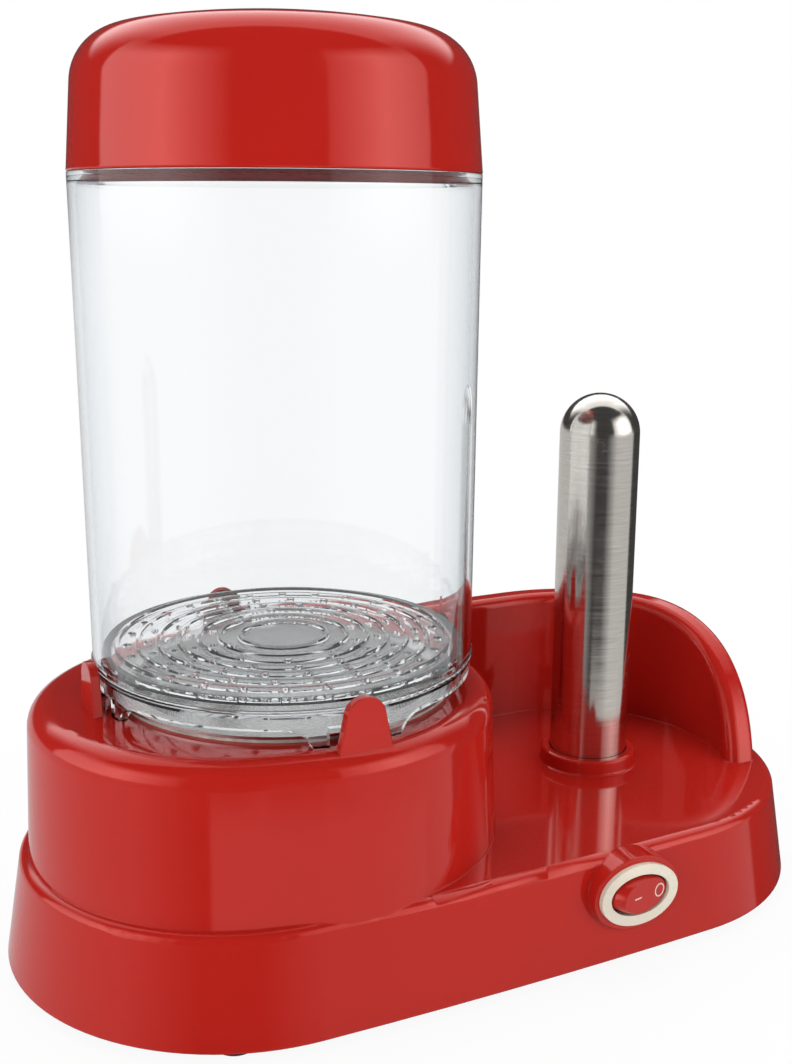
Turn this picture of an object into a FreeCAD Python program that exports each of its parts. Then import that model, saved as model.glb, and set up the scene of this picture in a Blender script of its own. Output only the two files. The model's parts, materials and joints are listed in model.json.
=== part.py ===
import FreeCAD, Part
import math
import os
import Sketcher

# Hot dog toaster. Millimetres, +Z up, +X towards the spike, -Y towards the switch.
# The origin is on the table, under the middle of the whole object.

DIMENSIONS = {
    "base_length": 262.0,
    "left_end_radius": 69.5,
    "right_end_radius": 67.5,
    "side_radius": 1735.0,
    "foot_height": 3.0,
    "deck_height": 34.0,
    "platform_height": 79.0,
    "mid_y": 0.75,
    "cup_offset": 15.5,
    "spike_offset": 1.3,
    "skin": 2.2,
    "base_draft": 9.3,
    "deck_edge_round": 3.0,
    "platform_inset": 7.5,
    "platform_margin": 9.0,
    "platform_shift": 0.5,
    "platform_draft": 2.4,
    "platform_edge_round": 7.0,
    "wall_inset": 9.0,
    "wall_thickness": 10.5,
    "wall_arc_radius": 65.5,
    "wall_arc_y": 36.0,
    "wall_lip_round": 3.5,
    "wall_end_angle": 34.0,
    "hollow_start": 20.0,
    "hollow_drop": 26.0,
    "hollow_low_angle": 10.0,
    "hollow_high_angle": 45.0,
    "collar_radius": 16.0,
    "collar_height": 5.0,
    "collar_round": 1.0,
    "collar_flare": 0.8,
    "tab_base_half": 7.9,
    "tab_neck_half": 5.7,
    "tab_neck_height": 9.0,
    "tab_height": 14.2,
    "tab_inner_radius": 57.0,
    "tab_thickness": 2.6,
    "pan_hole_radius": 47.0,
    "pan_sheet": 0.8,
    "pan_depth": 9.0,
    "pan_side_gap": 2.5,
    "pan_flange": 3.5,
    "pan_corner_round": 2.0,
    "seal_lip": 1.0,
    "seal_depth": 4.0,
    "seal_flange": 3.2,
    "retaining_ring_gap": 0.3,
    "retaining_ring_thickness": 1.2,
    "plate_thickness": 2.0,
    "plate_inset": 7.0,
    "element_radius": 27.0,
    "element_tube_radius": 3.25,
    "element_gap_angle": 20.0,
    "element_pin_radius": 1.6,
    "element_pin_length": 16.0,
    "stud_radius": 2.0,
    "stud_length": 14.0,
    "stud_gap": 3.75,
    "strap_width": 12.0,
    "strap_thickness": 1.5,
    "strap_end": 8.0,
    "strap_hole_radius": 2.2,
    "nut_radius": 4.0,
    "nut_height": 3.2,
    "thermostat_radius": 8.0,
    "thermostat_height": 5.8,
    "thermostat_reach": 13.0,
    "thermostat_drop": 3.6,
    "thermostat_blade_length": 6.0,
    "blade_width": 4.8,
    "blade_thickness": 0.8,
    "fuse_radius": 2.0,
    "fuse_half_length": 6.5,
    "fuse_offset": 17.0,
    "screw_boss_radius": 4.5,
    "screw_core_radius": 1.3,
    "screw_core_depth": 13.0,
    "screw_hole_radius": 1.7,
    "screw_head_radius": 2.8,
    "screw_head_height": 1.6,
    "screw_head_depth": 1.2,
    "screw_head_gap": 0.3,
    "screw_length": 10.0,
    "screw_slot_length": 3.6,
    "screw_slot_width": 0.8,
    "screw_slot_depth": 0.9,
    "left_boss_inset": 9.3,
    "left_boss_angle": 137.0,
    "right_boss_inset": 13.9,
    "right_boss_angle": 50.0,
    "cover_gap": 0.9,
    "cover_rise": 0.8,
    "cover_thickness": 2.5,
    "vent_pitch": 6.0,
    "vent_width": 2.4,
    "vent_length": 34.0,
    "foot_radius": 6.5,
    "foot_round": 1.0,
    "foot_stem_radius": 2.6,
    "foot_barb": 0.7,
    "foot_barb_height": 2.5,
    "foot_tip_inset": 0.8,
    "left_foot_inset": 9.4,
    "left_foot_angle": 111.0,
    "right_foot_inset": 15.4,
    "right_foot_angle": 62.0,
    "cup_bottom_radius": 56.0,
    "cup_top_radius": 56.9,
    "cup_wall": 2.2,
    "cup_skirt_rise": 5.3,
    "skirt_inset": 0.4,
    "skirt_wall": 2.4,
    "bead_rise": 5.0,
    "bead_reach": 0.5,
    "bead_under": 0.8,
    "bead_over": 1.2,
    "bead_low_round": 1.4,
    "bead_high_round": 1.0,
    "ledge_rise": 6.7,
    "ledge_width": 3.0,
    "ledge_thickness": 2.2,
    "ledge_slope": 1.8,
    "neck_wall": 1.6,
    "neck_root": 1.0,
    "neck_slope": 2.0,
    "cup_foot_gap": 0.7,
    "cup_foot_length": 12.0,
    "cup_foot_scoop": 8.2,
    "steam_plate_gap": 0.3,
    "steam_plate_thickness": 2.2,
    "steam_hole_radius": 1.3,
    "ridge_inset": 4.5,
    "ridge_pitch": 6.0,
    "ridge_height": 1.2,
    "ridge_foot_half": 0.8,
    "ridge_top_half": 0.5,
    "rim_height": 226.6,
    "neck_height": 236.0,
    "lid_height": 41.1,
    "lid_radius": 57.0,
    "lid_wall": 2.5,
    "lid_gap": 0.25,
    "lid_taper": 2.8,
    "lid_dome_rise": 6.3,
    "lid_shoulder_round": 15.0,
    "lid_inner_round": 13.0,
    "lid_top_wall": 2.1,
    "lid_edge_round": 0.6,
    "spike_radius": 12.9,
    "spike_wall": 1.0,
    "spike_top": 160.0,
    "spike_clearance": 0.2,
    "spike_flange_width": 4.0,
    "spike_flange_thickness": 1.2,
    "clamp_screw_gap": 9.1,
    "clamp_post_radius": 4.0,
    "clamp_core_radius": 1.0,
    "clamp_core_depth": 1.9,
    "clamp_margin": 5.0,
    "clamp_width": 30.0,
    "clamp_thickness": 1.5,
    "clamp_hole_radius": 1.3,
    "clamp_lead_hole": 3.0,
    "clamp_head_radius": 2.4,
    "clamp_head_height": 1.5,
    "clamp_screw_length": 3.1,
    "spike_heater_radius": 4.5,
    "spike_heater_gap": 14.0,
    "spacer_thickness": 5.0,
    "spacer_gap": 0.1,
    "lower_spacer_rise": 18.0,
    "upper_spacer_drop": 32.0,
    "switch_offset": 27.0,
    "switch_drop": 10.8,
    "boss_stand": 0.86,
    "boss_depth": 8.0,
    "boss_half_length": 14.8,
    "boss_half_height": 11.3,
    "bezel_half_length": 13.3,
    "bezel_half_height": 9.4,
    "bezel_thickness": 1.6,
    "opening_half_length": 10.2,
    "opening_half_height": 6.3,
    "barrel_length_margin": 1.8,
    "barrel_height_margin": 1.6,
    "barrel_depth": 15.0,
    "cavity_length_margin": 0.8,
    "cavity_height_margin": 0.7,
    "switch_clearance": 0.25,
    "rocker_tilt": 12.0,
    "rocker_face": 5.6,
    "rocker_back": 4.0,
    "rocker_side_gap": 0.3,
    "pivot_depth": 3.0,
    "pivot_radius": 1.25,
    "pivot_length": 15.2,
    "nib_radius": 1.4,
    "nib_length": 7.0,
    "switch_plug_thickness": 3.5,
    "switch_blade_reach": 23.0,
    "switch_blade_offset": 7.0,
    "contact_length": 11.0,
    "contact_thickness": 0.5,
    "contact_height": 3.0,
    "cord_offset": 51.5,
    "cord_drop": 16.0,
    "cord_boss_radius": 10.5,
    "gland_bore_radius": 3.3,
    "gland_neck_radius": 5.9,
    "gland_inner_radius": 7.5,
    "gland_inner_thickness": 2.0,
    "gland_flange_radius": 8.6,
    "gland_flange_taper": 0.6,
    "gland_flange_thickness": 2.5,
    "block_offset": 16.0,
    "block_inset": 31.9,
    "block_length": 26.0,
    "block_width": 12.0,
    "block_height": 11.0,
    "way_pitch": 8.0,
    "way_rise": 5.0,
    "way_radius": 1.4,
    "well_radius": 1.8,
    "terminal_screw_length": 4.0,
    "lead_radius": 1.0,
}

doc = FreeCAD.newDocument("hot_dog_toaster")
sheet = doc.addObject("Spreadsheet::Sheet", "dims")
for row, (alias, number) in enumerate(DIMENSIONS.items(), start=1):
    sheet.set(f"A{row}", alias)
    sheet.set(f"B{row}", str(number))
    sheet.setAlias(f"B{row}", alias)
doc.recompute()


class Measure:
    """A size as a number, with the sheet formula that gives it."""

    def __init__(self, number, formula):
        self.number = float(number)
        self.formula = formula

    def joined(self, sign, other, number):
        return Measure(number, f"({self.formula} {sign} {measure(other).formula})")

    def __add__(self, other):
        return self.joined("+", other, self.number + measure(other).number)

    def __sub__(self, other):
        return self.joined("-", other, self.number - measure(other).number)

    def __mul__(self, other):
        return self.joined("*", other, self.number * measure(other).number)

    def __truediv__(self, other):
        return self.joined("/", other, self.number / measure(other).number)

    def __rmul__(self, other):
        return self * other

    def __neg__(self):
        return measure(0.0) - self


def measure(value):
    if isinstance(value, Measure):
        return value
    return Measure(value, f"({value:.9g})")


def dim(alias):
    return Measure(getattr(sheet, alias), f"dims.{alias}")


def bind(thing, prop, value):
    """Tie one property to its sheet formula."""
    thing.setExpression(prop, measure(value).formula)


def place(thing, x=0.0, y=0.0, z=0.0):
    for prop, value in (("x", x), ("y", y), ("z", z)):
        bind(thing, f"Placement.Base.{prop}", value)


def turn(thing, axis, angle):
    """Turn a part in place about an axis through its own origin."""
    thing.Placement = FreeCAD.Placement(thing.Placement.Base, FreeCAD.Rotation(axis, angle))


X_AXIS = FreeCAD.Vector(1, 0, 0)
Y_AXIS = FreeCAD.Vector(0, 1, 0)
Z_AXIS = FreeCAD.Vector(0, 0, 1)


def new_body(label):
    body = doc.addObject("PartDesign::Body", label)
    body.Label = label
    return body


def sketch_in(body, role, height=0.0):
    """A sketch on one of the body's own planes, moved along the plane's normal."""
    sketch = body.newObject("Sketcher::SketchObject", f"{body.Label}_sketch")
    plane = [feature for feature in body.Origin.OriginFeatures if feature.Role == role][0]
    sketch.AttachmentSupport = [(plane, "")]
    sketch.MapMode = "FlatFace"
    bind(sketch, "AttachmentOffset.Base.z", height)
    return sketch


def constrain(sketch, kind, *arguments, value=None):
    if value is None:
        return sketch.addConstraint(Sketcher.Constraint(kind, *arguments))
    value = measure(value)
    index = sketch.addConstraint(Sketcher.Constraint(kind, *arguments, value.number))
    sketch.setExpression(f"Constraints[{index}]", value.formula)
    return index


def fix_point(sketch, geometry, position, x, y):
    constrain(sketch, "DistanceX", geometry, position, value=x)
    constrain(sketch, "DistanceY", geometry, position, value=y)


def outline(sketch, steps):
    """A closed outline. A step is a point, or a point, a radius and the side of the arc's centre."""
    points = [FreeCAD.Vector(measure(step[0]).number, measure(step[1]).number, 0) for step in steps]
    ends = []
    for number, step in enumerate(steps):
        start = points[number - 1]
        end = points[number]
        if len(step) == 2:
            index = sketch.addGeometry(Part.LineSegment(start, end))
            ends.append((index, 1, 2))
            continue
        radius = measure(step[2]).number
        half = (end - start) * 0.5
        across = FreeCAD.Vector(-half.y, half.x, 0).normalize()
        rise = math.sqrt(max(radius ** 2 - half.Length ** 2, 0.0))
        centre = start + half + across * rise * step[3]
        ring = Part.Circle(centre, Z_AXIS, radius)
        first = math.atan2(start.y - centre.y, start.x - centre.x)
        second = math.atan2(end.y - centre.y, end.x - centre.x)
        forward = step[3] > 0
        angles = (first, second) if forward else (second, first)
        index = sketch.addGeometry(Part.ArcOfCircle(ring, *angles))
        constrain(sketch, "Radius", index, value=step[2])
        ends.append((index, 1, 2) if forward else (index, 2, 1))
    for number, (index, start_end, far_end) in enumerate(ends):
        before = ends[number - 1]
        constrain(sketch, "Coincident", before[0], before[2], index, start_end)
        fix_point(sketch, index, far_end, steps[number][0], steps[number][1])


def tangent_loop(sketch, arcs):
    """Arcs that meet tangentially end to end: each with its radius, and a centre where it is set."""
    indices = []
    for radius, centre, angles, fixed in arcs:
        ring = Part.Circle(FreeCAD.Vector(centre[0], centre[1], 0), Z_AXIS, radius.number)
        index = sketch.addGeometry(Part.ArcOfCircle(ring, *angles))
        constrain(sketch, "Radius", index, value=radius)
        if fixed is not None:
            fix_point(sketch, index, 3, *fixed)
        indices.append(index)
    for number, index in enumerate(indices):
        constrain(sketch, "Tangent", indices[number - 1], 2, index, 1)


def pad(body, sketch, length, draft=None, reverse=False):
    feature = body.newObject("PartDesign::Pad", f"{body.Label}_pad")
    feature.Profile = sketch
    feature.Reversed = reverse
    bind(feature, "Length", length)
    if draft is not None:
        bind(feature, "TaperAngle", -draft)
    body.Tip = feature
    return feature


def revolve(body, sketch):
    feature = body.newObject("PartDesign::Revolution", f"{body.Label}_revolution")
    feature.Profile = sketch
    feature.ReferenceAxis = (sketch, ["V_Axis"])
    feature.Angle = 360
    body.Tip = feature
    return feature


def pocket(body, sketch, length, reverse=False):
    """A pocket that goes down from its sketch, or up when reversed, checked by volume."""
    doc.recompute()
    before = body.Shape.Volume
    feature = body.newObject("PartDesign::Pocket", f"{body.Label}_pocket")
    feature.Profile = sketch
    feature.Reversed = reverse
    bind(feature, "Length", length)
    body.Tip = feature
    doc.recompute()
    if body.Shape.Volume > before - 1e-3:
        raise RuntimeError(f"{body.Label}: the pocket cuts nothing")
    return feature


def round_edges(body, radius, wanted):
    """Fillet the edges of the body's shape that a test picks."""
    doc.recompute()
    base = body.Tip
    names = [f"Edge{n}" for n, edge in enumerate(base.Shape.Edges, start=1) if wanted(edge)]
    if not names:
        raise RuntimeError(f"{body.Label}: no edge to round")
    feature = body.newObject("PartDesign::Fillet", f"{body.Label}_fillet")
    feature.Base = (base, names)
    bind(feature, "Radius", radius)
    body.Tip = feature
    return feature


def at_height(height):
    """Pick edges that lie flat at one height."""
    level = measure(height).number

    def wanted(edge):
        box = edge.BoundBox
        return abs(box.ZMin - level) < 1e-3 and abs(box.ZMax - level) < 1e-3

    return wanted


def ring_edge(radius, height):
    """Pick the circle about the body's axis that has one radius and height."""
    level = at_height(height)
    reach = measure(radius).number

    def wanted(edge):
        return level(edge) and abs(edge.BoundBox.XMax - reach) < 1e-2

    return wanted


def turned(label, steps):
    """A body of revolution about Z. Steps are radius and height."""
    body = new_body(label)
    sketch = sketch_in(body, "XZ_Plane")
    outline(sketch, steps)
    revolve(body, sketch)
    return body


def primitive(kind, label, **sizes):
    thing = doc.addObject(f"Part::{kind}", label)
    thing.Label = label
    for prop, value in sizes.items():
        bind(thing, prop, value)
    return thing


def rod(label, radius, length, x=0.0, y=0.0, z=0.0, axis=None):
    """A cylinder from a point, upwards unless an axis to tilt about is given."""
    thing = primitive("Cylinder", label, Radius=radius, Height=length)
    if axis is not None:
        turn(thing, *axis)
    place(thing, x, y, z)
    return thing


def block(label, size_x, size_y, size_z, x=0.0, y=0.0, z=0.0):
    """A box whose place is the middle of its underside."""
    thing = primitive("Box", label, Length=size_x, Width=size_y, Height=size_z)
    place(thing, measure(x) - measure(size_x) / 2, measure(y) - measure(size_y) / 2, z)
    return thing


def fuse(label, *shapes):
    thing = doc.addObject("Part::MultiFuse", label)
    thing.Label = label
    thing.Shapes = list(shapes)
    return thing


def cut(label, base, *tools):
    thing = doc.addObject("Part::Cut", label)
    thing.Label = label
    thing.Base = base
    thing.Tool = tools[0] if len(tools) == 1 else fuse(f"{label}_cuts", *tools)
    return thing


def common(label, first, second):
    thing = doc.addObject("Part::MultiCommon", label)
    thing.Label = label
    thing.Shapes = [first, second]
    return thing


def half_width(x):
    """Half the base's width between its end centres, where the bowed sides run."""
    span = RIGHT_X - LEFT_X
    share = (x - LEFT_X) / span
    bow = span * span / (dim("side_radius") * 2)
    return dim("left_end_radius") * (measure(1.0) - share) + dim("right_end_radius") * share \
        + bow * share * (measure(1.0) - share)


def around(centre_x, radius, angle_name, side):
    """A point on a circle about an end's centre, at a named angle, in front or behind."""
    angle = math.radians(dim(angle_name).number)
    return centre_x + radius * math.cos(angle), radius * math.sin(angle) * side


# Overlaps and clearances that are no size of the object
SUNK = 1.5
BITE = 0.5
PAST = 1.0
THROUGH = 20.0
FIT = 0.05
SEAT_GAP = 0.1
LEAD_BEND_SHARE = 0.45
VENTS = 7
RIDGES = 7
HOLE_RINGS = 5
SKIRT_START = 40.0

# Places that several pieces share
LEFT_X = -(dim("base_length") / 2) + dim("left_end_radius")
RIGHT_X = dim("base_length") / 2 - dim("right_end_radius")
CUP_X = LEFT_X + dim("cup_offset")
SPIKE_X = RIGHT_X + dim("spike_offset")
SWITCH_X = RIGHT_X - dim("switch_offset")
SWITCH_Z = dim("deck_height") - dim("switch_drop")
CORD_X = LEFT_X + dim("cord_offset")
CORD_Z = dim("deck_height") - dim("cord_drop")
PLATFORM_LEFT_RADIUS = dim("left_end_radius") - dim("platform_inset")
PLATFORM_RIGHT_RADIUS = dim("cup_bottom_radius") + dim("platform_margin")
PLATFORM_RIGHT_X = CUP_X - dim("platform_shift")
UNDER_DECK = dim("deck_height") - dim("skin")
UNDER_PLATFORM = dim("platform_height") - dim("skin")
COVER_BOTTOM = dim("foot_height") + dim("cover_rise")
COVER_TOP = COVER_BOTTOM + dim("cover_thickness")
COVER_INSET = dim("skin") + dim("cover_gap")
SPIKE_BORE = dim("spike_radius") + dim("spike_clearance")
SEAL_TOP = dim("platform_height") + dim("seal_lip")
PAN_FLOOR = dim("platform_height") - dim("pan_depth")
PLATE_UNDER = PAN_FLOOR - dim("pan_sheet") - dim("plate_thickness")
RING_MIDDLE = PLATE_UNDER - dim("element_tube_radius")
STRAP_TOP = RING_MIDDLE - dim("element_tube_radius")
FLANGE_UNDER = UNDER_DECK - dim("spike_flange_thickness")
CLAMP_UNDER = FLANGE_UNDER - dim("clamp_thickness")
CLAMP_SCREW_X = dim("spike_radius") + dim("clamp_screw_gap")
SKIRT_BOTTOM = dim("platform_height") + dim("cup_skirt_rise")
LEDGE = SKIRT_BOTTOM + dim("ledge_rise")
LID_BOTTOM = dim("rim_height") + SEAT_GAP
BOSS_FACE = -(half_width(SWITCH_X) + dim("boss_stand"))
CORD_FACE = half_width(CORD_X) + SEAT_GAP
BARREL_HALF_LENGTH = dim("opening_half_length") + dim("barrel_length_margin")
BARREL_HALF_HEIGHT = dim("opening_half_height") + dim("barrel_height_margin")
BLOCK_X = CORD_X + dim("block_offset")
BLOCK_Y = CORD_FACE - dim("block_inset")
WAY_Z = COVER_TOP + dim("way_rise")
WAYS = [BLOCK_X - dim("way_pitch"), BLOCK_X, BLOCK_X + dim("way_pitch")]
BLADE_END = BOSS_FACE + dim("switch_blade_reach")
THERMOSTAT_BLADE_Z = PLATE_UNDER - dim("thermostat_drop")
FUSE_X = CUP_X - dim("fuse_offset")
FUSE_Z = PLATE_UNDER - dim("fuse_radius")
PIN_X = CUP_X + dim("element_radius") * math.cos(math.radians(dim("element_gap_angle").number))
PIN_Y = dim("element_radius") * math.sin(math.radians(dim("element_gap_angle").number))
PIN_BOTTOM = RING_MIDDLE - dim("element_pin_length")
SCREW_SPOTS = []
FOOT_SPOTS = {}
for side, side_name in ((-1, "front"), (1, "back")):
    left_post = PLATFORM_LEFT_RADIUS - dim("left_boss_inset")
    right_post = dim("right_end_radius") - dim("right_boss_inset")
    SCREW_SPOTS.append((*around(LEFT_X, left_post, "left_boss_angle", side), UNDER_PLATFORM))
    SCREW_SPOTS.append((*around(RIGHT_X, right_post, "right_boss_angle", side), UNDER_DECK))
    left_foot = dim("left_end_radius") - dim("left_foot_inset")
    right_foot = dim("right_end_radius") - dim("right_foot_inset")
    FOOT_SPOTS[f"{side_name}_left"] = around(LEFT_X, left_foot, "left_foot_angle", side)
    FOOT_SPOTS[f"{side_name}_right"] = around(RIGHT_X, right_foot, "right_foot_angle", side)


def base_oval(sketch, inset):
    """The base's outline: two end arcs joined by two long side arcs, drawn in by an inset."""
    left = dim("left_end_radius") - inset
    right = dim("right_end_radius") - inset
    side = dim("side_radius") - inset
    reach_left = (side - left).number
    reach_right = (side - right).number
    apart = (RIGHT_X - LEFT_X).number
    along = (reach_left ** 2 - reach_right ** 2 + apart ** 2) / (2 * apart)
    across = math.sqrt(reach_left ** 2 - along ** 2)
    middle_x = LEFT_X.number + along
    left_angle = math.atan2(-across, LEFT_X.number - middle_x)
    right_angle = math.atan2(-across, RIGHT_X.number - middle_x)
    full = 2 * math.pi
    tangent_loop(sketch, [
        (left, (LEFT_X.number, 0), (-left_angle, full + left_angle), (LEFT_X, 0.0)),
        (side, (middle_x, across), (left_angle, right_angle), None),
        (right, (RIGHT_X.number, 0), (right_angle, -right_angle), (RIGHT_X, 0.0)),
        (side, (middle_x, -across), (-right_angle, -left_angle), None),
    ])


def platform_oval(sketch, inset):
    """The platform's outline: a left and a right arc joined by straight tangents."""
    left = PLATFORM_LEFT_RADIUS - inset
    right = PLATFORM_RIGHT_RADIUS - inset
    left_x = LEFT_X
    right_x = PLATFORM_RIGHT_X
    lean = math.asin((right.number - left.number) / (right_x.number - left_x.number))
    turn_at = math.pi / 2 + lean
    arcs = []
    for radius, x, angles in (
        (left, left_x, (turn_at, 2 * math.pi - turn_at)),
        (right, right_x, (-turn_at, turn_at)),
    ):
        ring = Part.Circle(FreeCAD.Vector(x.number, 0, 0), Z_AXIS, radius.number)
        index = sketch.addGeometry(Part.ArcOfCircle(ring, *angles))
        constrain(sketch, "Radius", index, value=radius)
        fix_point(sketch, index, 3, x, 0.0)
        arcs.append(index)
    for first, second in (arcs, arcs[::-1]):
        start = sketch.getPoint(first, 2)
        end = sketch.getPoint(second, 1)
        line = sketch.addGeometry(Part.LineSegment(start, end))
        constrain(sketch, "Tangent", first, 2, line, 1)
        constrain(sketch, "Tangent", line, 2, second, 1)


def wall_strip(sketch, inset, end_angle, left_x):
    """The back wall's plan: a strip along the back that turns round the right end."""
    outer = dim("right_end_radius") - dim("wall_inset") - inset
    inner = dim("right_end_radius") - dim("wall_inset") - dim("wall_thickness") + inset
    cosine = math.cos(math.radians(end_angle))
    sine = math.sin(math.radians(end_angle))
    outline(sketch, [
        (RIGHT_X, outer, outer, 1),
        (left_x, outer),
        (left_x, inner),
        (RIGHT_X, inner),
        (RIGHT_X + inner * cosine, inner * sine, inner, -1),
        (RIGHT_X + outer * cosine, outer * sine),
    ])


def root(value):
    return Measure(math.sqrt(value.number), f"sqrt({value.formula})")


def drafted_block(label, outline_function, inset, bottom, top, draft):
    body = new_body(label)
    sketch = sketch_in(body, "XY_Plane", bottom)
    outline_function(sketch, inset)
    pad(body, sketch, top - bottom, draft)
    return body


def outer_skirt():
    """The low base: flared walls up to the deck, its edge rounded."""
    bottom = dim("foot_height")
    body = drafted_block("skirt_outer", base_oval, 0.0, bottom, dim("deck_height"), dim("base_draft"))
    round_edges(body, dim("deck_edge_round"), at_height(dim("deck_height")))
    return body


def inner_skirt():
    bottom = dim("foot_height")
    return drafted_block("skirt_inner", base_oval, dim("skin"), bottom, UNDER_DECK, dim("base_draft"))


def outer_platform():
    """The raised round block that carries the cup."""
    bottom = dim("deck_height") - SUNK
    top = dim("platform_height")
    body = drafted_block("platform_outer", platform_oval, 0.0, bottom, top, dim("platform_draft"))
    round_edges(body, dim("platform_edge_round"), at_height(top))
    return body


def inner_platform():
    bottom = UNDER_DECK - SUNK
    draft = dim("platform_draft")
    body = drafted_block("platform_inner", platform_oval, dim("skin"), bottom, UNDER_PLATFORM, draft)
    round_edges(body, dim("platform_edge_round") - dim("skin"), at_height(UNDER_PLATFORM))
    return body


def outer_wall():
    """The back wall, whose top falls in an arc to the deck at the right end."""
    body = new_body("wall_outer")
    bottom = dim("deck_height") - SUNK
    top = dim("platform_height")
    sketch = sketch_in(body, "XY_Plane", bottom)
    wall_strip(sketch, 0.0, -dim("wall_end_angle").number, CUP_X)
    pad(body, sketch, top - bottom)
    radius = dim("wall_arc_radius")
    arc_y = dim("wall_arc_y")
    arc_z = top - radius
    below = bottom - PAST
    fall = root(radius * radius - (arc_z - below) * (arc_z - below))
    front = -(dim("left_end_radius") + dim("right_end_radius"))
    side = sketch_in(body, "YZ_Plane", 0.0)
    outline(side, [
        (arc_y, top + PAST),
        (arc_y, top),
        (arc_y - fall, below, radius, 1),
        (front, below),
        (front, top + PAST),
    ])
    pocket(body, side, dim("base_length"), reverse=True)

    def on_lip(edge):
        if edge.Length < 2 * dim("wall_thickness").number:
            return False
        for point in edge.discretize(7):
            height = top.number
            if point.y < arc_y.number:
                height = arc_z.number + math.sqrt(radius.number ** 2 - (arc_y.number - point.y) ** 2)
            if abs(point.z - height) > 0.01:
                return False
        return True

    round_edges(body, dim("wall_lip_round"), on_lip)
    return body


def wall_hollow(label, end_angle, top):
    body = new_body(label)
    bottom = UNDER_DECK - SUNK
    sketch = sketch_in(body, "XY_Plane", bottom)
    wall_strip(sketch, dim("skin"), end_angle, CUP_X + dim("hollow_start"))
    pad(body, sketch, top - bottom)
    return body


def collar():
    """The ring round the spike's foot, with a hollow flare where it meets the deck."""
    radius = dim("collar_radius")
    deck = dim("deck_height")
    top = deck + dim("collar_height")
    flare = dim("collar_flare")
    edge = dim("collar_round")
    ring = turned("collar", [
        (0.0, deck - SUNK),
        (radius + flare, deck - SUNK),
        (radius + flare, deck),
        (radius, deck + flare, flare, -1),
        (radius, top - edge),
        (radius - edge, top, edge, 1),
        (0.0, top),
    ])
    place(ring, SPIKE_X)
    return ring


def tab(label, angle):
    """One of the four arched tabs that hold the cup's skirt."""
    body = new_body(label)
    top = dim("platform_height")
    base = dim("tab_base_half")
    neck = dim("tab_neck_half")
    neck_z = top + dim("tab_neck_height")
    peak = dim("tab_height") - dim("tab_neck_height")
    arch = (neck * neck + peak * peak) / (peak * 2)
    sketch = sketch_in(body, "XZ_Plane", dim("tab_inner_radius"))
    outline(sketch, [
        (-base, top - SUNK),
        (base, top - SUNK),
        (neck, neck_z),
        (0.0, top + dim("tab_height"), arch, 1),
        (-neck, neck_z, arch, 1),
    ])
    pad(body, sketch, dim("tab_thickness"))
    turn(body, Z_AXIS, angle)
    place(body, CUP_X)
    return body


def oval_rod(label, half_length, half_height, start_y, depth, x, z):
    """An oval prism from a front plane into the object, along +Y."""
    face = primitive("Ellipse", f"{label}_face", MajorRadius=half_length, MinorRadius=half_height)
    turn(face, X_AXIS, 90)
    place(face, x, start_y, z)
    thing = doc.addObject("Part::Extrusion", label)
    thing.Label = label
    thing.Base = face
    thing.DirMode = "Custom"
    thing.Dir = Y_AXIS
    thing.Solid = True
    bind(thing, "LengthFwd", depth)
    return thing


def screw_bosses():
    """Long posts from the ceilings down to the cover, each with a core for its screw."""
    posts = []
    cores = []
    depth = dim("screw_core_depth") + PAST
    for number, (x, y, ceiling) in enumerate(SCREW_SPOTS, start=1):
        height = ceiling + BITE - COVER_TOP
        posts.append(rod(f"screw_post_{number}", dim("screw_boss_radius"), height, x, y, COVER_TOP))
        cores.append(rod(f"screw_core_{number}", dim("screw_core_radius"), depth, x, y, COVER_TOP - PAST))
    stand = dim("spike_flange_thickness") + BITE
    core = dim("clamp_core_radius")
    depth = dim("clamp_core_depth") + PAST
    low = FLANGE_UNDER - PAST
    for number, side in enumerate((-1, 1), start=1):
        x = SPIKE_X + CLAMP_SCREW_X * side
        posts.append(rod(f"spike_post_{number}", dim("clamp_post_radius"), stand, x, 0.0, FLANGE_UNDER))
        cores.append(rod(f"spike_core_{number}", core, depth, x, 0.0, low))
    return posts, cores


def housing_openings():
    """The holes for the dish, the spike, the switch and the cord's gland."""
    start = THROUGH / 2
    length = BARREL_HALF_LENGTH + dim("switch_clearance")
    height = BARREL_HALF_HEIGHT + dim("switch_clearance")
    depth = dim("barrel_depth") + PAST
    gland = dim("gland_neck_radius") + SEAT_GAP
    return [
        rod("pan_hole", dim("pan_hole_radius"), THROUGH, CUP_X, 0.0, dim("platform_height") - start),
        rod("spike_hole", SPIKE_BORE, THROUGH, SPIKE_X, 0.0, UNDER_DECK - start),
        oval_rod("switch_hole", length, height, BOSS_FACE - PAST, depth, SWITCH_X, SWITCH_Z),
        rod("cord_hole", gland, THROUGH, CORD_X, CORD_FACE + PAST, CORD_Z, (X_AXIS, 90)),
    ]


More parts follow.
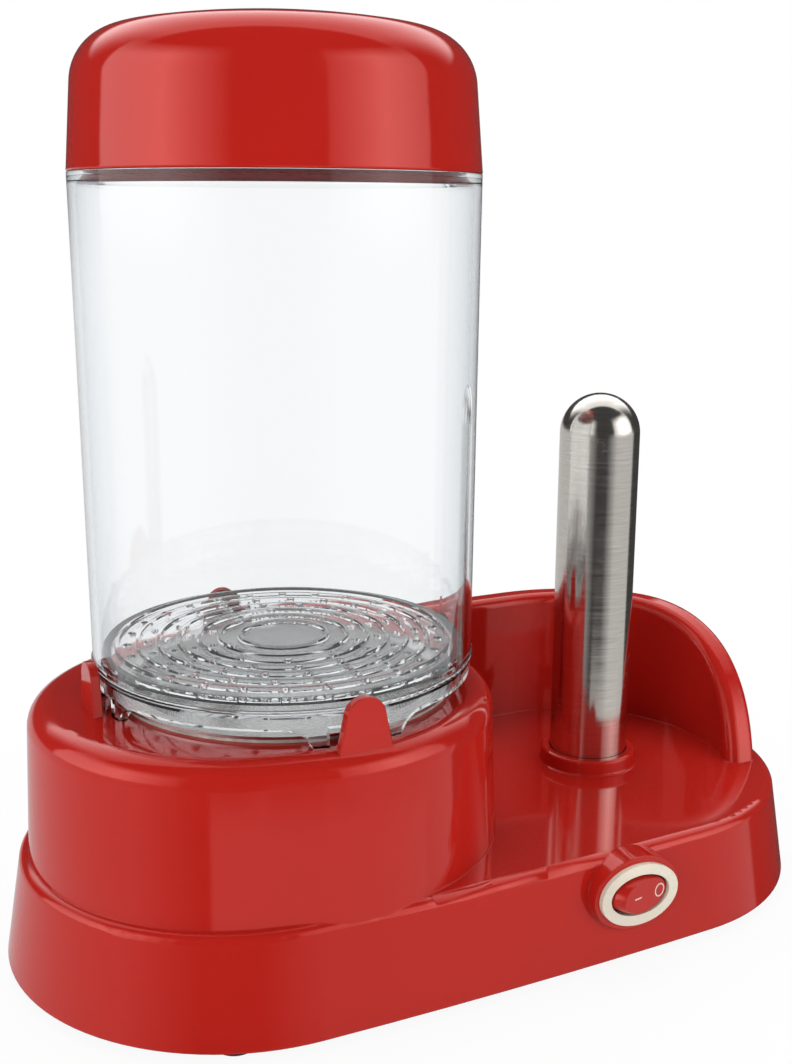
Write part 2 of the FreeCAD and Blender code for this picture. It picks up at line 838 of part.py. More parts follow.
def housing():
    """The red upper moulding: base, deck, platform, back wall, collar, tabs and bosses."""
    tabs = [tab(f"tab_{number}", 90 * number) for number in range(4)]
    depth = dim("boss_depth")
    switch_boss = oval_rod("switch_boss", dim("boss_half_length"), dim("boss_half_height"),
                           BOSS_FACE, depth, SWITCH_X, SWITCH_Z)
    cord_boss = rod("cord_boss", dim("cord_boss_radius"), depth, CORD_X, CORD_FACE, CORD_Z, (X_AXIS, 90))
    outside = fuse("housing_outside", outer_skirt(), outer_platform(), outer_wall(), collar(),
                   switch_boss, cord_boss, *tabs)
    low_top = dim("platform_height") - dim("hollow_drop")
    inside = fuse("housing_inside", inner_skirt(), inner_platform(),
                  wall_hollow("hollow_high", dim("hollow_high_angle").number, UNDER_PLATFORM),
                  wall_hollow("hollow_low", -dim("hollow_low_angle").number, low_top))
    shell = cut("housing_shell", outside, inside)
    posts, cores = screw_bosses()
    body = fuse("housing_posted", shell, *posts)
    node = cut("housing", body, *housing_openings(), *cores)
    return on_middle(node)


def on_cup_axis(node):
    place(node, CUP_X, dim("mid_y"))
    return node


def on_spike_axis(node):
    place(node, SPIKE_X, dim("mid_y"))
    return node


def on_middle(node):
    place(node, 0.0, dim("mid_y"))
    return node


def bottom_cover():
    """The flat closing plate, with screw holes, stem holes and two banks of vent slots."""
    body = new_body("cover_plate")
    sketch = sketch_in(body, "XY_Plane", COVER_BOTTOM)
    base_oval(sketch, COVER_INSET)
    pad(body, sketch, dim("cover_thickness"))
    tools = []
    low = COVER_BOTTOM - PAST
    through = dim("cover_thickness") + PAST * 2
    head_radius = dim("screw_head_radius") + dim("screw_head_gap")
    head_depth = dim("screw_head_depth") + PAST
    for number, (x, y, _) in enumerate(SCREW_SPOTS, start=1):
        tools.append(rod(f"cover_screw_hole_{number}", dim("screw_hole_radius"), through, x, y, low))
        tools.append(rod(f"cover_head_hole_{number}", head_radius, head_depth, x, y, low))
    for name, (x, y) in FOOT_SPOTS.items():
        tools.append(rod(f"cover_stem_hole_{name}", dim("foot_stem_radius") + FIT, through, x, y, low))
    vent = (dim("vent_width"), dim("vent_length"), through)
    for bank, middle_x in enumerate((CUP_X, SPIKE_X), start=1):
        for number in range(VENTS):
            x = middle_x + dim("vent_pitch") * (number - (VENTS - 1) / 2)
            tools.append(block(f"vent_{bank}_{number}", *vent, x, 0.0, low))
    return on_middle(cut("bottom_cover", body, *tools))


def foot(label, x, y):
    """A push-in rubber foot: a pad with a rounded edge, a stem through the cover and a barb."""
    radius = dim("foot_radius")
    stem = dim("foot_stem_radius")
    edge = dim("foot_round")
    tip = COVER_TOP + dim("foot_barb_height")
    node = turned(label, [
        (0.0, 0.0),
        (radius - edge, 0.0),
        (radius, edge, edge, 1),
        (radius, COVER_BOTTOM),
        (stem, COVER_BOTTOM),
        (stem, COVER_TOP),
        (stem + dim("foot_barb"), COVER_TOP),
        (stem - dim("foot_tip_inset"), tip),
        (0.0, tip),
    ])
    place(node, x, dim("mid_y") + y)
    return node


def cover_screws():
    """Four screws up through the cover into the posts."""
    shapes = []
    slots = []
    bearing = COVER_BOTTOM + dim("screw_head_depth")
    low = bearing - dim("screw_head_height")
    head = (dim("screw_head_radius"), dim("screw_head_height"))
    shank = (dim("screw_core_radius") - FIT, dim("screw_length"))
    slot = (dim("screw_slot_length"), dim("screw_slot_width"), dim("screw_slot_depth"))
    for number, (x, y, _) in enumerate(SCREW_SPOTS, start=1):
        shapes.append(rod(f"screw_head_{number}", *head, x, y, low))
        shapes.append(rod(f"screw_shank_{number}", *shank, x, y, bearing))
        slots.append(block(f"screw_slot_{number}", *slot, x, y, low))
    return on_middle(cut("cover_screws", fuse("cover_screw_bodies", *shapes), *slots))


def heating_pan():
    """The steel water dish, its flange lying on the seal."""
    sheet_metal = dim("pan_sheet")
    corner = dim("pan_corner_round")
    inner = dim("pan_hole_radius") - dim("pan_side_gap")
    flange = dim("pan_hole_radius") + dim("pan_flange")
    return on_cup_axis(turned("heating_pan", [
        (0.0, PAN_FLOOR - sheet_metal),
        (inner - corner, PAN_FLOOR - sheet_metal),
        (inner + sheet_metal, PAN_FLOOR + corner, corner + sheet_metal, 1),
        (inner + sheet_metal, SEAL_TOP),
        (flange, SEAL_TOP),
        (flange, SEAL_TOP + sheet_metal),
        (inner, SEAL_TOP + sheet_metal),
        (inner, PAN_FLOOR + corner),
        (inner - corner, PAN_FLOOR, corner, -1),
        (0.0, PAN_FLOOR),
    ]))


def pan_seal():
    """The silicone ring that closes the gap between dish and platform."""
    hole = dim("pan_hole_radius")
    bore = hole - dim("pan_side_gap") + dim("pan_sheet")
    flange = hole + dim("seal_flange")
    top = dim("platform_height")
    low = top - dim("seal_depth")
    return on_cup_axis(turned("pan_seal", [
        (bore, low),
        (hole, low),
        (hole, top),
        (flange, top),
        (flange, SEAL_TOP),
        (bore, SEAL_TOP),
    ]))


def pan_retaining_ring():
    """The steel ring that holds the dish from inside the housing."""
    bore = dim("pan_hole_radius") + dim("retaining_ring_gap")
    rim = dim("pan_hole_radius") + dim("pan_flange")
    low = UNDER_PLATFORM - dim("retaining_ring_thickness")
    return on_cup_axis(turned("pan_retaining_ring", [
        (bore, low),
        (rim, low),
        (rim, UNDER_PLATFORM),
        (bore, UNDER_PLATFORM),
    ]))


def heater_plate():
    """The aluminium disc that spreads the heat under the dish."""
    radius = dim("pan_hole_radius") - dim("plate_inset")
    return rod("heater_plate", radius, dim("plate_thickness"), CUP_X, dim("mid_y"), PLATE_UNDER)


def heater_ring():
    """The tubular heating element: an open ring with two pins that turn down."""
    gap = dim("element_gap_angle")
    tube = dim("element_tube_radius")
    ring = primitive("Torus", "heater_ring_loop", Radius1=dim("element_radius"), Radius2=tube,
                     Angle3=measure(360.0) - gap * 2)
    turn(ring, Z_AXIS, gap.number)
    place(ring, CUP_X, 0.0, RING_MIDDLE)
    pins = []
    pin = (dim("element_pin_radius"), dim("element_pin_length"))
    for number, side in enumerate((1, -1), start=1):
        y = PIN_Y * side
        pins.append(rod(f"heater_ring_pin_{number}", *pin, PIN_X, y, PIN_BOTTOM))
        knee = primitive("Sphere", f"heater_ring_knee_{number}", Radius=tube)
        place(knee, PIN_X, y, RING_MIDDLE)
        pins.append(knee)
    return on_middle(fuse("heater_ring", ring, *pins))


def heater_fixings():
    """The strap under the ring, its two studs, and their nuts."""
    stud = dim("stud_radius")
    stud_y = dim("element_radius") + dim("element_tube_radius") + dim("stud_gap")
    thick = dim("strap_thickness")
    under = STRAP_TOP - thick
    strap = block("strap_bar", dim("strap_width"), (stud_y + dim("strap_end")) * 2, thick, 0.0, 0.0, under)
    hole = (dim("strap_hole_radius"), thick + PAST * 2)
    length = dim("stud_length")
    nut_height = dim("nut_height")
    nut_low = under - nut_height
    bore_length = nut_height + PAST * 2
    holes = []
    studs = []
    nuts = []
    for number, side in enumerate((-1, 1), start=1):
        y = stud_y * side
        holes.append(rod(f"strap_hole_{number}", *hole, 0.0, y, under - PAST))
        studs.append(rod(f"stud_{number}", stud, length, 0.0, y, PLATE_UNDER - length))
        nut = primitive("Prism", f"nut_{number}", Polygon=6.0, Circumradius=dim("nut_radius"),
                        Height=nut_height)
        place(nut, 0.0, y, nut_low)
        bore = rod(f"nut_bore_{number}", stud + FIT, bore_length, 0.0, y, nut_low - PAST)
        nuts.append(cut(f"nut_bored_{number}", nut, bore))
    return [
        on_cup_axis(cut("heater_strap", strap, *holes)),
        on_cup_axis(fuse("heater_studs", *studs)),
        on_cup_axis(fuse("heater_nuts", *nuts)),
    ]


def thermostat():
    """The disc thermostat against the plate, with a terminal on each side."""
    height = dim("thermostat_height")
    disc = rod("thermostat_disc", dim("thermostat_radius"), height, 0.0, 0.0, PLATE_UNDER - height)
    length = dim("thermostat_blade_length")
    thick = dim("blade_thickness")
    low = THERMOSTAT_BLADE_Z - thick / 2
    blades = []
    for number, side in enumerate((-1, 1), start=1):
        x = (dim("thermostat_reach") - length / 2) * side
        blades.append(block(f"thermostat_blade_{number}", length, dim("blade_width"), thick, x, 0.0, low))
    return on_cup_axis(fuse("thermostat", disc, *blades))


def thermal_fuse():
    """The one-shot fuse, a small capsule held against the plate."""
    half = dim("fuse_half_length")
    end = dim("mid_y") + half
    return rod("thermal_fuse", dim("fuse_radius"), half * 2, FUSE_X, end, FUSE_Z, (X_AXIS, 90))


def spike_tube():
    """The polished tube that warms the roll: closed round tip, foot flange under the deck."""
    outer = dim("spike_radius")
    inner = outer - dim("spike_wall")
    flange = outer + dim("spike_flange_width")
    top = dim("spike_top")
    return on_spike_axis(turned("spike_tube", [
        (inner, FLANGE_UNDER),
        (flange, FLANGE_UNDER),
        (flange, UNDER_DECK),
        (outer, UNDER_DECK),
        (outer, top - outer),
        (0.0, top, outer, 1),
        (0.0, top - dim("spike_wall")),
        (inner, top - outer, inner, -1),
    ]))


def spike_clamp():
    """The steel plate that clamps the tube's flange to the deck, and its screws."""
    length = (CLAMP_SCREW_X + dim("clamp_margin")) * 2
    plate = block("clamp_blank", length, dim("clamp_width"), dim("clamp_thickness"), 0.0, 0.0, CLAMP_UNDER)
    low = CLAMP_UNDER - PAST
    through = dim("clamp_thickness") + PAST * 2
    holes = [rod("clamp_lead_hole", dim("clamp_lead_hole"), through, 0.0, 0.0, low)]
    head_height = dim("clamp_head_height")
    head = (dim("clamp_head_radius"), head_height)
    shank = (dim("clamp_core_radius") - FIT, dim("clamp_screw_length"))
    screws = []
    for number, side in enumerate((-1, 1), start=1):
        x = CLAMP_SCREW_X * side
        holes.append(rod(f"clamp_hole_{number}", dim("clamp_hole_radius"), through, x, 0.0, low))
        screws.append(rod(f"clamp_head_{number}", *head, x, 0.0, CLAMP_UNDER - head_height))
        screws.append(rod(f"clamp_shank_{number}", *shank, x, 0.0, CLAMP_UNDER))
    return [
        on_spike_axis(cut("spike_clamp_plate", plate, *holes)),
        on_spike_axis(fuse("spike_clamp_screws", *screws)),
    ]


def spike_heater():
    """The ceramic heating rod inside the tube, held central by two spacers."""
    height = dim("spike_top") - dim("spike_heater_gap") - FLANGE_UNDER
    nodes = [rod("spike_heater", dim("spike_heater_radius"), height, SPIKE_X, dim("mid_y"), FLANGE_UNDER)]
    thick = dim("spacer_thickness")
    rim = dim("spike_radius") - dim("spike_wall") - dim("spacer_gap")
    bore = dim("spike_heater_radius") + dim("spacer_gap")
    levels = {
        "lower": dim("deck_height") + dim("lower_spacer_rise"),
        "upper": dim("spike_top") - dim("upper_spacer_drop"),
    }
    for name, low in levels.items():
        disc = rod(f"spacer_disc_{name}", rim, thick, 0.0, 0.0, low)
        hole = rod(f"spacer_bore_{name}", bore, thick + PAST * 2, 0.0, 0.0, low - PAST)
        nodes.append(on_spike_axis(cut(f"spike_spacer_{name}", disc, hole)))
    return nodes


def switch_frame():
    """The cream bezel and the barrel behind it, with bores for the rocker's pins."""
    x = SWITCH_X
    z = SWITCH_Z
    length = dim("opening_half_length")
    height = dim("opening_half_height")
    thick = dim("bezel_thickness")
    cavity_length = length + dim("cavity_length_margin")
    cavity_height = height + dim("cavity_height_margin")
    front = BOSS_FACE - thick
    bezel = oval_rod("bezel_plate", dim("bezel_half_length"), dim("bezel_half_height"), front, thick, x, z)
    barrel = oval_rod("switch_barrel", BARREL_HALF_LENGTH, BARREL_HALF_HEIGHT, BOSS_FACE,
                      dim("barrel_depth"), x, z)
    opening = oval_rod("switch_opening", length, height, front - PAST, thick + PAST * 2, x, z)
    cavity = oval_rod("switch_cavity", cavity_length, cavity_height, BOSS_FACE, THROUGH, x, z)
    pivot = rod("pivot_bore", dim("pivot_radius") + FIT, THROUGH, x, BOSS_FACE + dim("pivot_depth"),
                z - THROUGH / 2)
    return on_middle(cut("switch_frame", fuse("switch_frame_blank", bezel, barrel), opening, cavity, pivot))


def rocker():
    """The red rocker: a flattened ball cut by its face, with pivot pins and a nib at the back."""
    face = dim("rocker_face")
    back = dim("rocker_back")
    reach = dim("opening_half_length") + SEAT_GAP
    ball = primitive("Ellipsoid", "rocker_ball", Radius2=reach, Radius3=reach,
                     Radius1=dim("opening_half_height") - dim("rocker_side_gap"))
    ball.Angle1 = -90
    ball.Angle2 = 90
    ball.Angle3 = 360
    slab = block("rocker_slab", reach * 4, face + back, reach * 4, 0.0, (back - face) / 2, -reach * 2)
    half_pin = dim("pivot_length") / 2
    pins = rod("rocker_pins", dim("pivot_radius"), dim("pivot_length"), 0.0, 0.0, -half_pin)
    nib_length = dim("nib_length")
    nib = rod("rocker_nib", dim("nib_radius"), nib_length, 0.0, nib_length, 0.0, (X_AXIS, 90))
    node = fuse("rocker", common("rocker_cap", ball, slab), pins, nib)
    node.Placement.Rotation = FreeCAD.Rotation(Z_AXIS, dim("rocker_tilt").number)
    bind(node, "Placement.Rotation.Angle", dim("rocker_tilt"))
    place(node, SWITCH_X, dim("mid_y") + BOSS_FACE + dim("pivot_depth"), SWITCH_Z)
    return node


def switch_inside():
    """The switch's base with its two blades, and the contact strip on its inner face."""
    x = SWITCH_X
    z = SWITCH_Z
    plug_thick = dim("switch_plug_thickness")
    face = BOSS_FACE + dim("barrel_depth") - plug_thick
    thick = dim("blade_thickness")
    width = dim("blade_width")
    length = BLADE_END - face + dim("contact_thickness")
    blades = []
    for number, side in enumerate((-1, 1), start=1):
        blade_x = x + dim("switch_blade_offset") * side
        blades.append(block(f"switch_blade_{number}", thick, length, width, blade_x,
                            BLADE_END - length / 2, z - width / 2))
    plug_length = dim("opening_half_length") + dim("cavity_length_margin") - SEAT_GAP
    plug_height = dim("opening_half_height") + dim("cavity_height_margin") - SEAT_GAP
    plug = oval_rod("switch_plug", plug_length, plug_height, face, plug_thick, x, z)
    base = cut("switch_base", plug, *blades)
    strip = dim("contact_thickness")
    tall = dim("contact_height")
    contact = block("switch_contact", dim("contact_length"), strip, tall, x,
                    dim("mid_y") + face - strip / 2, z - tall / 2)
    return [on_middle(base), on_middle(fuse("switch_terminals", *blades)), contact]


def terminal_block():
    """The block on the cover where the leads meet, with a screw over each way."""
    length = dim("block_length")
    width = dim("block_width")
    height = dim("block_height")
    body = block("terminal_body", length, width, height, BLOCK_X, BLOCK_Y, COVER_TOP)
    screw_z = WAY_Z + dim("lead_radius")
    screw = (dim("well_radius") - SEAT_GAP, dim("terminal_screw_length"))
    tools = []
    screws = []
    for number, x in enumerate(WAYS, start=1):
        tools.append(rod(f"terminal_way_{number}", dim("way_radius"), width + PAST * 2, x,
                         BLOCK_Y + width / 2 + PAST, WAY_Z, (X_AXIS, 90)))
        tools.append(rod(f"terminal_well_{number}", dim("well_radius"), height, x, BLOCK_Y, WAY_Z))
        screws.append(rod(f"terminal_screw_{number}", *screw, x, BLOCK_Y, screw_z))
    return [
        on_middle(cut("terminal_block", body, *tools)),
        on_middle(fuse("terminal_screws", *screws)),
    ]


def lead(label, points):
    """A sleeved wire: straight runs joined by tangent arcs as large as the runs allow."""
    corners = [FreeCAD.Vector(*[measure(value).number for value in point]) for point in points]
    edges = []
    radii = []
    start = corners[0]
    for before, corner, after in zip(corners, corners[1:], corners[2:]):
        arriving = (corner - before).normalize()
        leaving = (after - corner).normalize()
        half_turn = arriving.getAngle(leaving) / 2
        reach = LEAD_BEND_SHARE * min((corner - before).Length, (after - corner).Length)
        radius = reach / math.tan(half_turn)
        inwards = (leaving - arriving).normalize()
        middle = corner + inwards * (radius / math.cos(half_turn) - radius)
        end = corner + leaving * reach
        edges.append(Part.LineSegment(start, corner - arriving * reach).toShape())
        edges.append(Part.Arc(corner - arriving * reach, middle, end).toShape())
        radii.append(radius)
        start = end
    edges.append(Part.LineSegment(start, corners[-1]).toShape())
    path = Part.Wire(edges)
    thick = dim("lead_radius").number
    ring = Part.Wire(Part.makeCircle(thick, corners[0], corners[1] - corners[0]))
    node = doc.addObject("Part::Feature", label)
    node.Label = label
    node.Shape = path.makePipeShell([ring], True, False)
    expected = math.pi * thick ** 2 * path.Length
    if abs(node.Shape.Volume - expected) > 0.01 * expected:
        raise RuntimeError(f"{label}: the sweep's volume is off")
    print(f"{label}: radii {[round(radius, 1) for radius in radii]}")
    return on_middle(node)


def leads():
    """The wires inside: line, load, through fuse, ring and spike to neutral, and earth."""
    earth_way, line_way, neutral_way = WAYS
    blade_z = SWITCH_Z
    line_blade = SWITCH_X + dim("switch_blade_offset")
    load_blade = SWITCH_X - dim("switch_blade_offset")
    blade_rear = BLADE_END + 11.0
    fuse_end = dim("fuse_half_length")
    tab_x = CUP_X + dim("thermostat_reach")
    under_tab_x = CUP_X - dim("thermostat_reach") + 2.0
    fuse_side = fuse_end + 5.5
    ring_angle = math.radians(45)
    ring_reach = dim("pan_hole_radius") + 1.9
    earth_x = CUP_X + ring_reach * math.cos(ring_angle)
    earth_y = ring_reach * math.sin(ring_angle)
    spike_line_x = SPIKE_X - 1.2
    spike_neutral_x = SPIKE_X + 1.2
    return [
        lead("lead_line", [
            (line_blade, BLADE_END, blade_z),
            (line_blade, blade_rear, blade_z),
            (SPIKE_X - 35.0, -6.0, WAY_Z),
            (line_way, BLOCK_Y - 24.0, WAY_Z),
            (line_way, BLOCK_Y, WAY_Z),
        ]),
        lead("lead_load", [
            (load_blade, BLADE_END, blade_z),
            (load_blade, blade_rear, blade_z),
            (CUP_X + 54.0, -16.0, UNDER_DECK - 1.8),
            (CUP_X + 38.0, 0.0, THERMOSTAT_BLADE_Z),
            (tab_x, 0.0, THERMOSTAT_BLADE_Z),
        ]),
        lead("lead_fuse", [
            (under_tab_x, 0.0, THERMOSTAT_BLADE_Z - 0.4),
            (under_tab_x, 0.0, THERMOSTAT_BLADE_Z - 9.6),
            (FUSE_X, fuse_side, THERMOSTAT_BLADE_Z - 9.6),
            (FUSE_X, fuse_side, FUSE_Z),
            (FUSE_X, fuse_end, FUSE_Z),
        ]),
        lead("lead_ring", [
            (FUSE_X, -fuse_end, FUSE_Z),
            (FUSE_X, -fuse_side, FUSE_Z),
            (FUSE_X, -fuse_side, PIN_BOTTOM - 6.0),
            (PIN_X, -PIN_Y, PIN_BOTTOM - 12.0),
            (PIN_X, -PIN_Y, PIN_BOTTOM),
        ]),
        lead("lead_spike", [
            (PIN_X, PIN_Y, PIN_BOTTOM),
            (PIN_X, PIN_Y, PIN_BOTTOM - 14.0),
            (SPIKE_X - 45.0, 6.0, FLANGE_UNDER - 10.6),
            (spike_line_x, 0.0, FLANGE_UNDER - 12.6),
            (spike_line_x, 0.0, FLANGE_UNDER),
        ]),
        lead("lead_neutral", [
            (spike_neutral_x, 0.0, FLANGE_UNDER),
            (spike_neutral_x, 0.0, FLANGE_UNDER - 15.6),
            (SPIKE_X - 25.0, 10.0, WAY_Z),
            (neutral_way, BLOCK_Y - 16.0, WAY_Z),
            (neutral_way, BLOCK_Y, WAY_Z),
        ]),
        lead("lead_earth", [
            (earth_way, BLOCK_Y, WAY_Z),
            (earth_way, BLOCK_Y - 16.0, WAY_Z),
            (earth_way - 4.0, BLOCK_Y - 16.0, UNDER_DECK - 1.8),
            (earth_x, earth_y, (UNDER_DECK + UNDER_PLATFORM) / 2 - 4.0),
            (earth_x, earth_y, UNDER_PLATFORM - 1.2),
        ]),
    ]


def inlet_gland():
    """The rubber gland in the back wall: a flange each side of the wall and a clear bore."""
    depth = dim("boss_depth")
    bore = dim("gland_bore_radius")
    neck = dim("gland_neck_radius")
    inner = dim("gland_inner_radius")
    rim = dim("gland_flange_radius")
    inner_end = -depth - dim("gland_inner_thickness")
    outer_end = dim("gland_flange_thickness")
    node = new_body("inlet_gland")
    sketch = sketch_in(node, "XZ_Plane")
    outline(sketch, [
        (bore, inner_end),
        (inner, inner_end),
        (inner, -depth),
        (neck, -depth),
        (neck, 0.0),
        (rim, 0.0),
        (rim - dim("gland_flange_taper"), outer_end),
        (bore, outer_end),
    ])
    revolve(node, sketch)
    turn(node, X_AXIS, -90)
    place(node, CORD_X, dim("mid_y") + CORD_FACE, CORD_Z)
    return node


def cup():
    """The clear cup: skirt and bead below, tapered wall, and a neck for the lid."""
    wall = dim("cup_wall")
    low = dim("cup_bottom_radius")
    high = dim("cup_top_radius")
    rim = dim("rim_height")
    skirt = low - dim("skirt_inset")
    skirt_bore = skirt - dim("skirt_wall")
    bead = SKIRT_BOTTOM + dim("bead_rise")
    neck = dim("lid_radius") - dim("lid_wall") - dim("lid_gap")
    neck_bore = neck - dim("neck_wall")
    neck_foot = rim - dim("neck_root")
    shelf = low - wall - dim("ledge_width")
    shelf_under = LEDGE - dim("ledge_thickness")
    shell = turned("cup_shell", [
        (skirt_bore, SKIRT_BOTTOM),
        (skirt, SKIRT_BOTTOM),
        (skirt, bead - dim("bead_under")),
        (low + dim("bead_reach"), bead, dim("bead_low_round"), 1),
        (low, bead + dim("bead_over"), dim("bead_high_round"), 1),
        (high, rim),
        (neck, rim),
        (neck, dim("neck_height")),
        (neck_bore, dim("neck_height")),
        (neck_bore, neck_foot),
        (high - wall, neck_foot - dim("neck_slope")),
        (low - wall, LEDGE),
        (shelf, LEDGE),
        (shelf, shelf_under),
        (skirt_bore, shelf_under - dim("ledge_slope")),
    ])
    ring = turned("cup_foot_ring", [
        (skirt_bore, dim("platform_height")),
        (skirt, dim("platform_height")),
        (skirt, SKIRT_BOTTOM + PAST),
        (skirt_bore, SKIRT_BOTTOM + PAST),
    ])
    blanks = [foot_blank(f"foot_blank_{number}_{side}", 90 * number, side)
              for number in range(4) for side in (-1, 1)]
    feet = common("cup_feet", ring, fuse("cup_foot_blanks", *blanks))
    return on_cup_axis(fuse("cup", shell, feet))


def foot_blank(label, angle, side):
    """One gusseted foot beside a tab: a block whose far corner is scooped out."""
    low = dim("platform_height")
    near = dim("tab_base_half") + dim("cup_foot_gap")
    far = near + dim("cup_foot_length")
    top = SKIRT_BOTTOM + PAST
    scoop = dim("cup_foot_scoop")
    drop = low - SKIRT_BOTTOM + scoop
    toe = root(scoop * scoop - drop * drop)
    body = new_body(label)
    sketch = sketch_in(body, "XZ_Plane", SKIRT_START)
    outline(sketch, [
        (near * side, low),
        ((far - toe) * side, low),
        (far * side, SKIRT_BOTTOM, scoop, -side),
        (far * side, top),
        (near * side, top),
    ])
    pad(body, sketch, THROUGH)
    turn(body, Z_AXIS, angle)
    return body


def steam_plate():
    """The clear floor that the food stands on: rings on top, steam holes between them."""
    radius = dim("cup_bottom_radius") - dim("cup_wall") - dim("steam_plate_gap")
    face = LEDGE + dim("steam_plate_thickness")
    crest = face + dim("ridge_height")
    foot_half = dim("ridge_foot_half")
    top_half = dim("ridge_top_half")
    first = radius - dim("ridge_inset")
    pitch = dim("ridge_pitch")
    steps = [(0.0, LEDGE), (radius, LEDGE), (radius, face)]
    for number in range(RIDGES):
        ridge = first - pitch * number
        steps += [(ridge + foot_half, face), (ridge + top_half, crest)]
        steps += [(ridge - top_half, crest), (ridge - foot_half, face)]
    steps.append((0.0, face))
    plate = turned("steam_disc", steps)
    through = dim("steam_plate_thickness") + PAST * 2
    tools = []
    for ring in range(1, HOLE_RINGS + 1):
        count = 6 + 4 * (HOLE_RINGS + 1 - ring)
        reach = first - pitch * (ring - 0.5)
        for number in range(count):
            angle = 2 * math.pi * number / count
            tools.append(rod(f"steam_hole_{ring}_{number}", dim("steam_hole_radius"), through,
                             reach * math.cos(angle), reach * math.sin(angle), LEDGE - PAST))
    return on_cup_axis(cut("steam_plate", plate, *tools))


def lid():
    """The red lid: a gently domed top, a large round shoulder and a plain drafted skirt."""
    outer = dim("lid_radius")
    bore = outer - dim("lid_wall")
    shoulder = outer - dim("lid_taper")
    top = dim("rim_height") + dim("lid_height")
    rise = dim("lid_dome_rise")
    corner = top - rise
    thick = dim("lid_top_wall")
    dome = (shoulder * shoulder + rise * rise) / (rise * 2)
    body = turned("lid", [
        (bore, LID_BOTTOM),
        (outer, LID_BOTTOM),
        (shoulder, corner),
        (0.0, top, dome, 1),
        (0.0, top - thick),
        (shoulder - thick, corner - thick, dome, -1),
        (bore, dim("neck_height") + PAST),
    ])
    round_edges(body, dim("lid_shoulder_round"), ring_edge(shoulder, corner))
    round_edges(body, dim("lid_inner_round"), ring_edge(shoulder - thick, corner - thick))
    round_edges(body, dim("lid_edge_round"), ring_edge(outer, LID_BOTTOM))
    return on_cup_axis(body)


NODES = [
    housing(),
    bottom_cover(),
    *[foot(f"foot_{name}", x, y) for name, (x, y) in FOOT_SPOTS.items()],
    cover_screws(),
    heating_pan(),
    pan_seal(),
    pan_retaining_ring(),
    heater_plate(),
    heater_ring(),
    *heater_fixings(),
    thermostat(),
    thermal_fuse(),
    spike_tube(),
    *spike_clamp(),
    *spike_heater(),
    switch_frame(),
    rocker(),
    *switch_inside(),
    *terminal_block(),
    *leads(),
    inlet_gland(),
    cup(),
    steam_plate(),
    lid(),
]

doc.recompute()
failed = [thing.Label for thing in doc.Objects if "Invalid" in thing.State or "Error" in thing.State]
if failed:
    raise RuntimeError(f"failed objects: {failed}")
os.makedirs("parts", exist_ok=True)
for node in NODES:
    shape = node.Shape
    if shape.isNull() or not shape.isValid():
        raise RuntimeError(f"{node.Label}: the shape is not valid")
    box = shape.BoundBox
    print(f"{node.Label}: {len(shape.Solids)} solids, {shape.Volume / 1000:.2f} cm3, "
          f"x {box.XMin:.1f} {box.XMax:.1f}, y {box.YMin:.1f} {box.YMax:.1f}, "
          f"z {box.ZMin:.1f} {box.ZMax:.1f}")
    shape.exportStep(f"parts/{node.Label}.step")
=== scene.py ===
# %% [markdown]
# # A hot dog toaster in Blender
# The object is a small kitchen appliance: a clear cup with a red lid stands on a raised
# platform, and a steel spike stands beside it. The solids were made in a CAD program, so
# this file only dresses them. It loads the solids, gives every one of them a finish made
# of nodes, swaps some for finer meshes, and sets up the light and the camera.

# %% Load the frame
import bmesh
import bpy
import json
import math
from mathutils import Matrix, Vector


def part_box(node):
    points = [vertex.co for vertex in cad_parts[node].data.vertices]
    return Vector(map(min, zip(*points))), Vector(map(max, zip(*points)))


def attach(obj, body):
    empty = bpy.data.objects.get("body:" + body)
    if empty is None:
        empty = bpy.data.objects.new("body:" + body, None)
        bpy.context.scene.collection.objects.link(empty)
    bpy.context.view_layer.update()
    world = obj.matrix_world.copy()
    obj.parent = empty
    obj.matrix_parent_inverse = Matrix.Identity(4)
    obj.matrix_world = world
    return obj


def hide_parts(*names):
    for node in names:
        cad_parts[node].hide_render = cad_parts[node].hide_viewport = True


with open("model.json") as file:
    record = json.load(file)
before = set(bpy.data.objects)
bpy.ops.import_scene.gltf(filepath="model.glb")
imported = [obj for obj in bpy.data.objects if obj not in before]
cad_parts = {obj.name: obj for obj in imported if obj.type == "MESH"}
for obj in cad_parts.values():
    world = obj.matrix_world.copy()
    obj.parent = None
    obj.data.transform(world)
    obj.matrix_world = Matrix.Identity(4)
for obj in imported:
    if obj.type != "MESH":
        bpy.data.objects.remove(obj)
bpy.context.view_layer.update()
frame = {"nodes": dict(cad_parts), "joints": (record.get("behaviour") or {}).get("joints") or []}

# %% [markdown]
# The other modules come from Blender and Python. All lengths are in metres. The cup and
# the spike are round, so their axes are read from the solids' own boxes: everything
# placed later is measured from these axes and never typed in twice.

MM = 0.001


def middle_of(node):
    low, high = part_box(node)
    return (Vector(low) + Vector(high)) / 2


def top_of(node):
    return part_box(node)[1][2]


CUP_AXIS = middle_of("cup")
SPIKE_AXIS = middle_of("spike_tube")
ROCKER_JOINT = next(joint for joint in frame["joints"] if joint["name"] == "switch_rocker")
ROCKER_AXIS = Vector(ROCKER_JOINT["pos_m"])
print("cup axis", [round(v, 4) for v in CUP_AXIS], "spike axis", [round(v, 4) for v in SPIKE_AXIS])

# %% [markdown]
# A finish is a node tree, and many trees here start alike, so a few small helpers write
# them. `add` makes a node and sets its sockets, and `feed` links or sets one socket.
# Helpers keep each finish short enough to read as a recipe.

# %% Helpers for node trees
def add(tree, kind, settings=None, **sockets):
    """Make a node, set its own settings, and set or link its input sockets."""
    node = tree.nodes.new(kind)
    for name, value in (settings or {}).items():
        setattr(node, name, value)
    for name, value in sockets.items():
        feed(tree, node.inputs[name.replace("_", " ")], value)
    return node


